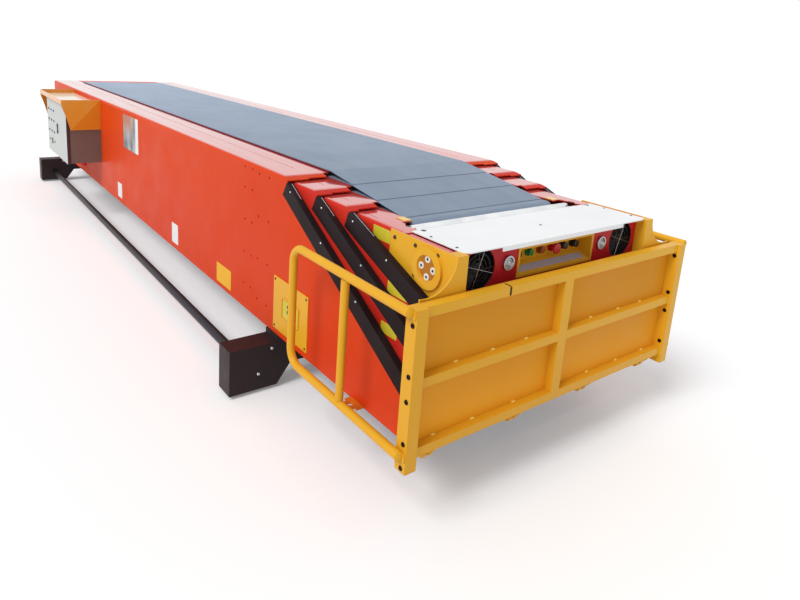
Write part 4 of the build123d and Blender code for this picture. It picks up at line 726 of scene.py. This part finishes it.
def make_piece(name, rings, body, material, capped=True):
    """Joins neighbouring rings with quads, caps the ends, and rides the mesh on a body."""
    copies, count, around, _ = rings.shape
    index = np.arange(copies * count * around).reshape(copies, count, around)
    low, high = index[:, :-1], index[:, 1:]
    quads = np.stack([low, np.roll(low, -1, 2), np.roll(high, -1, 2), high], axis=-1)
    faces = quads.reshape(-1, 4).tolist()
    if capped:
        faces += index[:, 0, ::-1].tolist() + index[:, -1].tolist()
    mesh = bpy.data.meshes.new(name)
    mesh.from_pydata(rings.reshape(-1, 3).tolist(), [], faces)
    mesh.shade_smooth()
    mesh.set_sharp_from_angle(angle=SHARP_EDGE)
    mesh.materials.append(material)
    piece = bpy.data.objects.new(name, mesh)
    bpy.context.scene.collection.objects.link(piece)
    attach(piece, body)
    return piece


def dress(nodes, material):
    """Gives CAD nodes a material in place of the plain one."""
    for node in nodes:
        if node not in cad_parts:
            raise RuntimeError("no node " + node)
        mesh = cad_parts[node].data
        mesh.materials.clear()
        mesh.materials.append(material)


def button_head(radius, height):
    """A button-head screw: a low dome with a socket in its middle."""
    profile = [
        (radius, 0.0), (radius, 0.3 * height), (0.86 * radius, 0.75 * height), (0.55 * radius, height),
        (0.42 * radius, height), (0.40 * radius, 0.35 * height),
    ]
    return turned_rings(profile, 12)


def dome(radius, height):
    """A plain rounded cap."""
    return turned_rings(
        [(radius, 0.0), (radius, 0.35 * height), (0.8 * radius, 0.75 * height), (0.4 * radius, height)], 14
    )


def posed(axes, place):
    """The placing matrix of a camera or a light from its right, up and back directions."""
    basis = np.array(axes, float)
    basis /= np.linalg.norm(basis, axis=1)[:, None]
    rows = [[*basis[:, i], place[i]] for i in range(3)] + [[0, 0, 0, 1]]
    return Matrix(rows)


class CONVEYOR_OT_paint_sections(bpy.types.Operator):
    """Paint the base's and the booms' side plates, end plate, slider beds in a dark maroon of painted
    shade, nosings and beams
    """

    bl_idname = "conveyor.paint_sections"
    bl_label = "Paint sections"

    def execute(self, context):
        tones, _ = settings()
        # the last value is the IOR of the covers' coat, higher where the covers look paler
        for section, main, deep, gloss in (
            ("base", tones.orange_red, tones.side_deep, 1.55),
            ("boom_1", tones.boom_red, tones.boom_deep, 2.1),
            ("boom_2", tones.boom_red, tones.boom_deep, 2.1),
            ("boom_3", tones.boom_red, tones.boom_deep, 1.7),
        ):
            node = section + "_side_plates"
            name = "gloss_enamel_red_" + section
            cover_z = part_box(node)[1].z
            dress([node], covered_enamel(name, main, deep, tones.cover_red, cover_z, gloss))
        dress(["rear_end_plate"], gloss_enamel("gloss_enamel_red_end", tones.orange_red, tones.side_deep))
        tray = gloss_enamel(
            "gloss_enamel_red_tray", tones.shade_red, linear("#A81C26"), roughness=0.34, specular=0.15,
            coat=0.02,
        )
        dress(["tip_wall"], tray)
        # the slider beds get a dark maroon as painted shade, for the gaps beside the belt
        bed_shade = gloss_enamel(
            "painted_shade_maroon", tones.bed_shade_maroon, tones.bed_shade_maroon, roughness=0.5, specular=0.15,
            coat=0.0,
        )
        dress([section + "_belt_bed" for section in SECTIONS], bed_shade)
        umber = gloss_enamel(
            "gloss_enamel_umber", tones.umber, linear("#2A1F21"), roughness=0.45, specular=0.15, coat=0.03
        )
        dress([node for node, _ in BEAM_BOLTS], umber)
        black = gloss_enamel(
            "gloss_enamel_black", tones.nosing_black, linear("#211719"), roughness=0.45, specular=0.08,
            coat=0.02,
        )
        dress([row[0] for row in NOSES], black)
        return {"FINISHED"}


class CONVEYOR_OT_paint_yellow_parts(bpy.types.Operator):
    """Paint the platform with painted bounce light low on its floor plate, the tip's yellow parts, the
    hood with a painted highlight on its upward faces, the access cover and the tie lugs
    """

    bl_idname = "conveyor.paint_yellow_parts"
    bl_label = "Paint yellow parts"

    def execute(self, context):
        tones, _ = settings()
        yellow = gloss_enamel(
            "gloss_enamel_yellow", tones.yellow, linear("#E0A424"), roughness=0.36, specular=0.18,
            coat=0.06,
        )
        dress(
            [
                "platform_frame", "platform_handrails", "tip_cheeks", "tip_end_frame", "button_box",
                "access_cover",
            ],
            yellow,
        )
        cream = gloss_enamel(
            "gloss_enamel_cream", tones.cream, linear("#EDC058"), roughness=0.3, specular=0.3, coat=0.2
        )
        dress(["belt_end_plates"], cream)
        # the floor plate carries painted bounce light towards its lower edge
        dress(["platform_floor"], panel_enamel("gloss_enamel_floor", tones.floor_yellow))
        # the hood's faces that look up get a pale cream as a painted highlight
        hood = gloss_enamel(
            "gloss_enamel_hood", tones.hood_yellow, linear("#E39126"), roughness=0.3, specular=0.3,
            coat=0.6, top_light=linear("#F3E6CC"),
        )
        dress(["cabinet_hood"], hood)
        orange = gloss_enamel(
            "gloss_enamel_orange", linear("#DE7A1E"), linear("#D0701C"), roughness=0.4
        )
        dress(["tie_lugs"], orange)
        return {"FINISHED"}


class CONVEYOR_OT_dress_belts(bpy.types.Operator):
    """Give the belts their coated fabric, with its painted sheen towards the rear"""

    bl_idname = "conveyor.dress_belts"
    bl_label = "Dress belts"

    def execute(self, context):
        tones, _ = settings()
        fabric = belt_fabric("pvc_coated_belt_fabric", tones.belt)
        dress([section + "_belt" for section in SECTIONS], fabric)
        return {"FINISHED"}


class CONVEYOR_OT_finish_steel(bpy.types.Operator):
    """Finish rollers, drums, wheels, shaft, drive unit and straps"""

    bl_idname = "conveyor.finish_steel"
    bl_label = "Finish steel"

    def execute(self, context):
        turned = machined_steel("turned_steel", "#9A9DA1")
        dress(
            [
                "base_drums", "base_support_rollers", "boom_1_rollers", "boom_2_rollers",
                "boom_3_rollers", "idle_wheel_front", "idle_wheel_rear", "drive_wheels",
            ],
            turned,
        )
        bright = machined_steel("polished_roller_tube", "#EDEFF0", roughness=0.3)
        dress(["transfer_roller_1", "transfer_roller_2"], bright)
        dress(["drive_shaft"], machined_steel("drawn_dark_steel", "#3C3A40", roughness=0.4))
        housing = powder_coat("cast_housing_grey", linear("#4A4D52"), roughness=0.55)
        dress(["belt_drive_unit"], housing)
        zinc = galvanised_steel("galvanised_sheet")
        dress([section + "_straps" for section in SECTIONS], zinc)
        return {"FINISHED"}


class CONVEYOR_OT_dress_cabinet(bpy.types.Operator):
    """Paint the cabinet, its door with painted shade on its forward edge, handle and signal lamp, and fit
    the door's lamps and slots
    """

    bl_idname = "conveyor.dress_cabinet"
    bl_label = "Dress cabinet"

    def execute(self, context):
        tones, _ = settings()
        brown = powder_coat("powder_coat_brown", tones.cabinet_brown, roughness=0.45, specular=0.25)
        dress(["cabinet"], brown)
        # the door's faces that look forwards get a dark maroon as painted shade
        grey = powder_coat(
            "powder_coat_light_grey", tones.door_grey, roughness=0.45, specular=0.25,
            edge=linear("#4C2F35"),
        )
        dress(["cabinet_door"], grey)
        black = moulded_plastic("moulded_black_abs", "#1D1D20")
        dress(["cabinet_handle"], black)
        dress(["signal_lamp"], moulded_plastic("moulded_red_lens", "#D2241C", roughness=0.18))
        face = -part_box("cabinet_door")[0].y
        rows = [(x, z) for x in DOOR_COLUMNS for z in DOOR_ROWS]
        lamps = on_sides(dome(radius=0.010, height=0.006), rows, face, (-1,))
        make_piece("cabinet_door_lamps", lamps, "cabinet_door", black)
        slots = [
            on_sides(plate_rings(width, height, thickness=0.004, corner=0.004), [place], face, (-1,))
            for width, height, place in DOOR_SLOTS
        ]
        make_piece("cabinet_door_slots", np.concatenate(slots), "cabinet_door", black)
        return {"FINISHED"}


class CONVEYOR_OT_fit_spot_lamps(bpy.types.Operator):
    """Finish the spot lamps, and fit their stepped reflectors and lenses"""

    bl_idname = "conveyor.fit_spot_lamps"
    bl_label = "Fit spot lamps"

    def execute(self, context):
        chrome = machined_steel("chromed_reflector", "#B9BDC2", roughness=0.3)
        dress(["spot_lamps"], chrome)
        low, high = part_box("spot_lamps")
        middle_y = high.y - (high.z - low.z) / 2
        middle_z = (low.z + high.z) / 2
        centres = [(high.x - REFLECTOR_INSET, side * middle_y, middle_z) for side in (-1, 1)]
        reflectors = placed(turned_rings(REFLECTOR_STEPS, 32), centres, (1, 0, 0))
        make_piece("spot_lamp_reflectors", reflectors, "boom_3", chrome, capped=False)
        clear = moulded_plastic("moulded_clear_lens", "#D3D6DA", roughness=0.15)
        fronts = [(high.x - LENS_INSET, side * middle_y, middle_z) for side in (-1, 1)]
        lenses = placed(dome(radius=0.0068, height=0.0028), fronts, (1, 0, 0))
        make_piece("spot_lamp_lenses", lenses, "boom_3", clear)
        return {"FINISHED"}


class CONVEYOR_OT_dress_tip(bpy.types.Operator):
    """Finish the deck, the fans and the push buttons, and fit the deck's screws, strips and dark discs of
    painted shade in its holes
    """

    bl_idname = "conveyor.dress_tip"
    bl_label = "Dress tip"

    def execute(self, context):
        tones, _ = settings()
        white = powder_coat("satin_white_enamel", tones.deck_white, roughness=0.5, specular=0.25)
        dress(["tip_deck"], white)
        black = moulded_plastic("moulded_black_nylon", "#1B1A1D", roughness=0.45)
        dress(["fan_housings", "fan_rotor_right", "fan_rotor_left"], black)
        dress(["push_buttons"], button_caps("moulded_button_caps"))

        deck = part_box("tip_deck")[1]
        dark = machined_steel("blackened_screw", "#3A3A3E", roughness=0.35)
        heads = [(x, y, deck.z) for x, y in DECK_SCREWS]
        screws = placed(button_head(radius=0.0055, height=0.0015), heads, (0, 0, 1))
        make_piece("deck_screws", screws, "boom_3", dark)

        inner = deck.y + EDGE_STRIP_FROM_DECK
        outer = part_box("tip_cheeks")[1].y - EDGE_STRIP_FROM_RIM
        back, ahead = EDGE_STRIP_X
        strip = plate_rings(outer - inner, ahead - back, thickness=0.0015, corner=0.003)
        middles = [
            ((back + ahead) / 2, side * (outer + inner) / 2, deck.z - EDGE_STRIP_DROP) for side in (-1, 1)
        ]
        pink = gloss_enamel(
            "gloss_enamel_strip", tones.cover_red, tones.cover_red, roughness=0.2, specular=0.1, coat=0.7
        )
        make_piece("deck_edge_strips", placed(strip, middles, (0, 0, 1)), "boom_3", pink)

        # dark discs of painted shade stand for the shade inside the holes
        cover_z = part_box("boom_3_side_plates")[1].z
        holes = [
            (x, side * y, z)
            for (x, y), z in ((COVER_HOLE, cover_z), (DECK_HOLE, deck.z))
            for side in (-1, 1)
        ]
        hole_shades = placed(dome(radius=0.010, height=0.0005), holes, (0, 0, 1))
        make_piece("deck_hole_shades", hole_shades, "boom_3", black)
        return {"FINISHED"}


class CONVEYOR_OT_fit_button_strip(bpy.types.Operator):
    """Fit the blank silver strip on the button box's sloping panel"""

    bl_idname = "conveyor.fit_button_strip"
    bl_label = "Fit button strip"

    def execute(self, context):
        low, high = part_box("button_box")
        front = high.x - PANEL_FROM_FRONT
        run = low.x + PANEL_FROM_BACK - front
        middle = (front + STRIP_PLACE * run, 0.0, low.z + PANEL_FROM_FLOOR + STRIP_PLACE * PANEL_RISE)
        width = STRIP_SHARE * math.hypot(run, PANEL_RISE)
        strip = plate_rings(STRIP_LENGTH, width, thickness=0.0012, corner=0.002)
        silver = label_foil("brushed_silver_foil", linear("#B2AEBA"), roughness=0.3)
        fitted = placed(strip, [middle], (PANEL_RISE, 0.0, -run))
        make_piece("button_box_blank_strip", fitted, "boom_3", silver)
        return {"FINISHED"}


class CONVEYOR_OT_fit_fan_guards(bpy.types.Operator):
    """Fit the dark wire hoops and the bright wire cross in front of the two fans"""

    bl_idname = "conveyor.fit_fan_guards"
    bl_label = "Fit fan guards"

    def execute(self, context):
        _, sizes = settings()
        hoop_steel = machined_steel("blackened_guard_wire", "#34343A", roughness=0.4)
        cross_steel = machined_steel("drawn_guard_wire", "#B9B6B4", roughness=0.3)
        low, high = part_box("fan_rotor_left")
        middle_z = (low.z + high.z) / 2
        middle_y = (low.y + high.y) / 2
        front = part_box("fan_housings")[1].x + sizes.guard_wire
        hoops = [wire_rings(radius, sizes.guard_wire, 48) for radius in GUARD_HOOPS]
        reach = GUARD_HOOPS[-1]
        spoke = turned_rings([(sizes.guard_wire, -reach), (sizes.guard_wire, reach)], 6)
        for side, label in ((-1, "right"), (1, "left")):
            centre = [(front, side * middle_y, middle_z)]
            rings = np.concatenate([placed(hoop, centre, (1, 0, 0)) for hoop in hoops])
            make_piece("fan_guard_" + label, rings, "boom_3", hoop_steel, capped=False)
            over = [(front + sizes.guard_wire, side * middle_y, middle_z)]
            cross = np.concatenate(
                [
                    placed(spoke, over, (0, math.cos(turn), math.sin(turn)))
                    for turn in (GUARD_LEAN, GUARD_LEAN + math.pi / 2)
                ]
            )
            make_piece("fan_guard_cross_" + label, cross, "boom_3", cross_steel)
        return {"FINISHED"}


class CONVEYOR_OT_fit_cheek_bolts(bpy.types.Operator):
    """Fit the cheeks' screws, a brown disc of painted shade in each bearing boss's recess, and the four
    washered bolts in each boss
    """

    bl_idname = "conveyor.fit_cheek_bolts"
    bl_label = "Fit cheek bolts"

    def execute(self, context):
        _, sizes = settings()
        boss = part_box("tip_cheeks")[1].y
        cheek = boss - CHEEK_INSET
        recess = boss - RECESS_INSET
        dark = machined_steel("oiled_black_screw", "#55504C", roughness=0.35)
        head = button_head(sizes.screw_radius, sizes.screw_height)
        make_piece("cheek_screws", on_sides(head, CHEEK_SCREWS, cheek), "boom_3", dark)
        profile = [
            (sizes.washer_bore, 0.0), (sizes.washer_radius, 0.0), (sizes.washer_radius, 0.0012),
            (0.92 * sizes.washer_radius, 0.0022), (1.1 * sizes.washer_bore, 0.0022),
            (sizes.washer_bore, 0.0016), (sizes.washer_bore, 0.0),
        ]
        brown = gloss_enamel(
            "painted_recess_shade", linear("#C07A22"), linear("#A96A20"), roughness=0.4, specular=0.15,
            coat=0.0,
        )
        # painted shade: a brown disc 0.2 mm over the recess's floor, with its edge sunk in it
        skin = dome(RECESS_RADIUS, height=0.0004)
        shade_discs = on_sides(skin, [BOSS_CENTRE], recess - 0.0002)
        make_piece("boss_recess_shade", shade_discs, "boom_3", brown)
        white = moulded_plastic("moulded_white_nylon", "#E6E6E4", roughness=0.35)
        washers = on_sides(turned_rings(profile, 20), BOSS_WASHERS, recess)
        make_piece("boss_washers", washers, "boom_3", white, capped=False)
        bolts = on_sides(button_head(0.98 * sizes.washer_bore, height=0.0032), BOSS_WASHERS, recess)
        make_piece("boss_bolts", bolts, "boom_3", dark)
        return {"FINISHED"}


class CONVEYOR_OT_fit_nosing_rivets(bpy.types.Operator):
    """Fit the nosings' bright rivets and the strips of painted highlight along their folds"""

    bl_idname = "conveyor.fit_nosing_rivets"
    bl_label = "Fit nosing rivets"

    def execute(self, context):
        _, sizes = settings()
        bright = machined_steel("zinc_plated_rivet", "#DCDEE0", roughness=0.3)
        # pale strips of painted highlight along the nosings' folds
        fold_highlight = label_foil("painted_fold_highlight", linear("#BDBDC0"), roughness=0.4)
        head = dome(sizes.rivet_radius, height=0.003)
        for node, body, upper, foot, rivets, share in NOSES:
            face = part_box(node)[1].y
            make_piece(node + "_rivets", on_sides(head, rivets, face), body, bright)
            start, end = np.array(upper), np.array(foot)
            travel = (end - start) / np.linalg.norm(end - start)
            out = np.array([-travel[1], travel[0]])
            reach = share * float(np.linalg.norm(end - start))
            middle = start + travel * (FOLD_START + reach / 2) + out * FOLD_RISE
            strip = plate_rings(FOLD_WIDTH, reach, thickness=0.0004, corner=0.0010)
            places = [(middle[0], side * (face - FOLD_INSET), middle[1]) for side in (-1, 1)]
            folds = placed(strip, places, (out[0], 0.0, out[1]))
            make_piece(node + "_painted_fold_highlights", folds, body, fold_highlight)
        return {"FINISHED"}


class CONVEYOR_OT_fit_platform_bolts(bpy.types.Operator):
    """Fit the platform's dark bolts, its weld beads in a pale yellow of painted highlight, tube plugs and
    a dark plate of painted shade in the top rail's slot
    """

    bl_idname = "conveyor.fit_platform_bolts"
    bl_label = "Fit platform bolts"

    def execute(self, context):
        tones, sizes = settings()
        dark = machined_steel("blackened_bolt", "#2E2623", roughness=0.45)
        head = button_head(sizes.bolt_radius, height=0.004)
        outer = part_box("platform_frame")[1].y
        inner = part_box("platform_floor")[1].y
        outside = on_sides(head, POST_BOLTS + HINGE_BOLTS, outer)
        make_piece("platform_post_bolts", outside, "platform", dark)
        inside = np.concatenate(
            [
                placed(head, [(x, side * inner, z) for x, z in POST_BOLTS], (0, -side, 0))
                for side in (-1, 1)
            ]
        )
        make_piece("platform_inner_bolts", inside, "platform", dark)

        # the weld beads are a pale yellow as a painted highlight
        highlight_yellow = gloss_enamel(
            "painted_highlight_weld_yellow", linear("#F8DC78"), linear("#F4CF5C"), roughness=0.3,
            specular=0.3, coat=0.2,
        )
        bead_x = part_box("platform_floor")[1].x + BEAD_STANDOFF
        bead = bead_rings(sizes.bead_length, sizes.bead_radius)
        places = [(bead_x, y, z) for z, row in WELD_BEADS for y in row]
        beads = placed(bead, places, (0, 1, 0))
        make_piece("platform_weld_beads", beads, "platform", highlight_yellow)

        tube_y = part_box("platform_handrails")[1].y - RAIL_TUBE
        ends = [(RAIL_END_X, side * tube_y, z) for side in (-1, 1) for z in RAIL_END_HEIGHTS]
        plugs = placed(dome(radius=0.0155, height=0.002), ends, (1, 0, 0))
        yellow = gloss_enamel(
            "gloss_enamel_plug_yellow", tones.yellow, tones.yellow, roughness=0.4, specular=0.12, coat=0.0
        )
        make_piece("handrail_end_plugs", plugs, "platform", yellow)
        # dark plates of painted shade in the top rail's slot
        slots = [
            placed(plate_rings(RAIL_SLOT_WIDTH, reach, thickness=0.0006, corner=0.002), [middle], axis)
            for middle, axis, reach in RAIL_SLOTS
        ]
        make_piece("top_rail_slot_shade", np.concatenate(slots), "platform", dark)
        return {"FINISHED"}


class CONVEYOR_OT_fit_beam_bolts(bpy.types.Operator):
    """Fit the bright bolts on the front faces of the wheel boxes"""

    bl_idname = "conveyor.fit_beam_bolts"
    bl_label = "Fit beam bolts"

    def execute(self, context):
        _, sizes = settings()
        bright = machined_steel("zinc_plated_bolt", "#D5D7D9", roughness=0.3)
        head = button_head(sizes.screw_radius, sizes.screw_height)
        for node, bolts in BEAM_BOLTS:
            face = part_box(node)[1].x
            places = [(face, side * y, z) for side in (-1, 1) for y, z in bolts]
            make_piece(node + "_bolts", placed(head, places, (1, 0, 0)), "base", bright)
        return {"FINISHED"}


def fit_access_cover(foil):
    """Fits the blank foils and the locks in the access cover's dish and latch, and its screws."""
    low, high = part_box("access_cover")
    face = -low.y
    dish_x, dish_z = low.x + DISH_CORNER[0], low.z + DISH_CORNER[1]
    across, up = DISH_SHEET
    sheet = plate_rings(0.066, 0.080, thickness=0.001, corner=0.004)
    blank = on_sides(sheet, [(dish_x + across, dish_z + up)], face - DISH_DEPTH, (-1,))
    make_piece("access_dish_blank", blank, "base", foil)
    bar = plate_rings(0.010, 0.092, thickness=0.001, corner=0.003)
    latch = on_sides(bar, [(low.x + LATCH_X, dish_z + up)], face - LATCH_DEPTH, (-1,))
    make_piece("access_latch_blank", latch, "base", foil)
    dark = moulded_plastic("moulded_black_lock", "#1B1512")
    places = [(dish_x + x, dish_z + z) for x, z in DISH_LOCKS]
    locks = on_sides(dome(radius=0.0095, height=0.005), places, face - DISH_DEPTH, (-1,))
    make_piece("access_dish_locks", locks, "base", dark)
    corners = [
        (x, z) for x in (low.x + COVER_SCREW_INSET, high.x - COVER_SCREW_INSET)
        for z in (low.z + COVER_SCREW_INSET, high.z - COVER_SCREW_INSET)
    ]
    head = button_head(radius=0.005, height=0.003)
    screws = on_sides(head, corners, face - SCREW_SEAT_DEPTH, (-1,))
    brown = machined_steel("blackened_cover_screw", "#4A4038", roughness=0.4)
    make_piece("access_cover_screws", screws, "base", brown)


class CONVEYOR_OT_fit_blank_plates(bpy.types.Operator):
    """Fit the blank labels and plates on the long sides, and what the access cover's dish holds"""

    bl_idname = "conveyor.fit_blank_plates"
    bl_label = "Fit blank plates"

    def execute(self, context):
        tones, sizes = settings()
        yellow = gloss_enamel(
            "gloss_enamel_plate_yellow", tones.yellow, tones.yellow, roughness=0.4, specular=0.1, coat=0.0
        )
        greenish = label_foil("vinyl_label_yellow", tones.label_yellow)
        white = label_foil("vinyl_label_white", tones.label_white)
        for name, node, body, sides, (rear, front, low, high) in BLANKS:
            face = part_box(node)[1].y
            material = yellow if "yellow_plate" in name else white if "white" in name else greenish
            thick = sizes.plate if material == yellow else sizes.foil
            rings = plate_rings(front - rear, high - low, thick, corner=0.004)
            centre = [((rear + front) / 2, (low + high) / 2)]
            make_piece(name, on_sides(rings, centre, face, sides), body, material)
        rear, front, low, high = PLAQUE
        rings = plate_rings(front - rear, high - low, sizes.plate, corner=0.006)
        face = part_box("base_side_plates")[1].y
        plaque = on_sides(rings, [((rear + front) / 2, (low + high) / 2)], face, (-1,))
        aluminium = wiped_aluminium("wiped_anodised_aluminium")
        make_piece("blank_plaque", plaque, "base", aluminium)
        fit_access_cover(greenish)
        return {"FINISHED"}


class CONVEYOR_OT_set_stage(bpy.types.Operator):
    """Set the floor, the soft light, the white surroundings and the camera"""

    bl_idname = "conveyor.set_stage"
    bl_label = "Set stage"

    def execute(self, context):
        scene = context.scene
        scene.view_settings.view_transform = "Standard"

        world = bpy.data.worlds.new("studio_world")
        scene.world = world
        world.use_nodes = True
        tree = world.node_tree
        tree.nodes.clear()
        background = add_node(
            tree, "ShaderNodeBackground", None,
            {"Color": (1.0, 1.0, 1.0, 1.0), "Strength": seen_or(tree, WORLD_LIGHT, 1.0)},
        )
        output = add_node(tree, "ShaderNodeOutputWorld")
        tree.links.new(background.outputs["Background"], output.inputs["Surface"])

        floor_mesh = bpy.data.meshes.new("studio_floor")
        edge = np.array([-FLOOR_REACH, FLOOR_REACH])
        across, ahead = np.meshgrid(edge, edge)
        corners = np.stack([across, ahead, np.full_like(across, -FLOOR_GAP)], axis=-1).reshape(-1, 3)
        floor_mesh.from_pydata(corners.tolist(), [], [(0, 1, 3, 2)])
        floor = bpy.data.objects.new("studio_floor", floor_mesh)
        scene.collection.objects.link(floor)
        paint, tree, shader = new_material("studio_floor_paint")
        set_finish(
            tree, shader, Base_Color=rgba(linear("#F4F5F6")), Roughness=0.95, Specular_IOR_Level=0.0,
            Emission_Strength=seen_or(tree, 0.0, FLOOR_GLOW),
        )
        floor_mesh.materials.append(paint)

        sun = bpy.data.lights.new("soft_key", "SUN")
        sun.energy = KEY_STRENGTH
        sun.angle = KEY_SPREAD
        holder = bpy.data.objects.new("soft_key", sun)
        scene.collection.objects.link(holder)
        holder.matrix_world = posed(frames_of(KEY_DIRECTION).T, KEY_PLACE)

        camera = bpy.data.cameras.new("photo_camera")
        camera.sensor_width = 36.0
        camera.lens = CAMERA_LENS
        camera.shift_x, camera.shift_y = CAMERA_SHIFT
        camera.clip_end = 200.0
        holder = bpy.data.objects.new("photo_camera", camera)
        scene.collection.objects.link(holder)
        holder.matrix_world = posed(CAMERA_AXES, CAMERA_PLACE)
        scene.camera = holder
        return {"FINISHED"}


OPERATORS = (
    CONVEYOR_OT_paint_sections,
    CONVEYOR_OT_paint_yellow_parts,
    CONVEYOR_OT_dress_belts,
    CONVEYOR_OT_finish_steel,
    CONVEYOR_OT_dress_cabinet,
    CONVEYOR_OT_fit_spot_lamps,
    CONVEYOR_OT_dress_tip,
    CONVEYOR_OT_fit_button_strip,
    CONVEYOR_OT_fit_fan_guards,
    CONVEYOR_OT_fit_cheek_bolts,
    CONVEYOR_OT_fit_nosing_rivets,
    CONVEYOR_OT_fit_platform_bolts,
    CONVEYOR_OT_fit_beam_bolts,
    CONVEYOR_OT_fit_blank_plates,
    CONVEYOR_OT_set_stage,
)


class CONVEYOR_PT_panel(bpy.types.Panel):
    """Buttons and values of the conveyor's finish"""

    bl_idname = "CONVEYOR_PT_panel"
    bl_label = "Belt Conveyor"
    bl_space_type = "VIEW_3D"
    bl_region_type = "UI"
    bl_category = "Conveyor"

    def draw(self, context):
        for group in settings():
            box = self.layout.box()
            for key in group.bl_rna.properties.keys():
                if key not in ("rna_type", "name"):
                    box.prop(group, key)
        for operator in OPERATORS:
            self.layout.operator(operator.bl_idname)


CLASSES = (ConveyorColours, ConveyorSizes, *OPERATORS, CONVEYOR_PT_panel)


def register():
    for item in CLASSES:
        bpy.utils.register_class(item)
    bpy.types.Scene.conveyor_colours = bpy.props.PointerProperty(type=ConveyorColours)
    bpy.types.Scene.conveyor_sizes = bpy.props.PointerProperty(type=ConveyorSizes)


def unregister():
    del bpy.types.Scene.conveyor_colours
    del bpy.types.Scene.conveyor_sizes
    for item in reversed(CLASSES):
        bpy.utils.unregister_class(item)


def main():
    """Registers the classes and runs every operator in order."""
    register()
    for operator in OPERATORS:
        group, call = operator.bl_idname.split(".")
        getattr(getattr(bpy.ops, group), call)()
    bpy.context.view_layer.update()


if __name__ == "__main__":
    main()
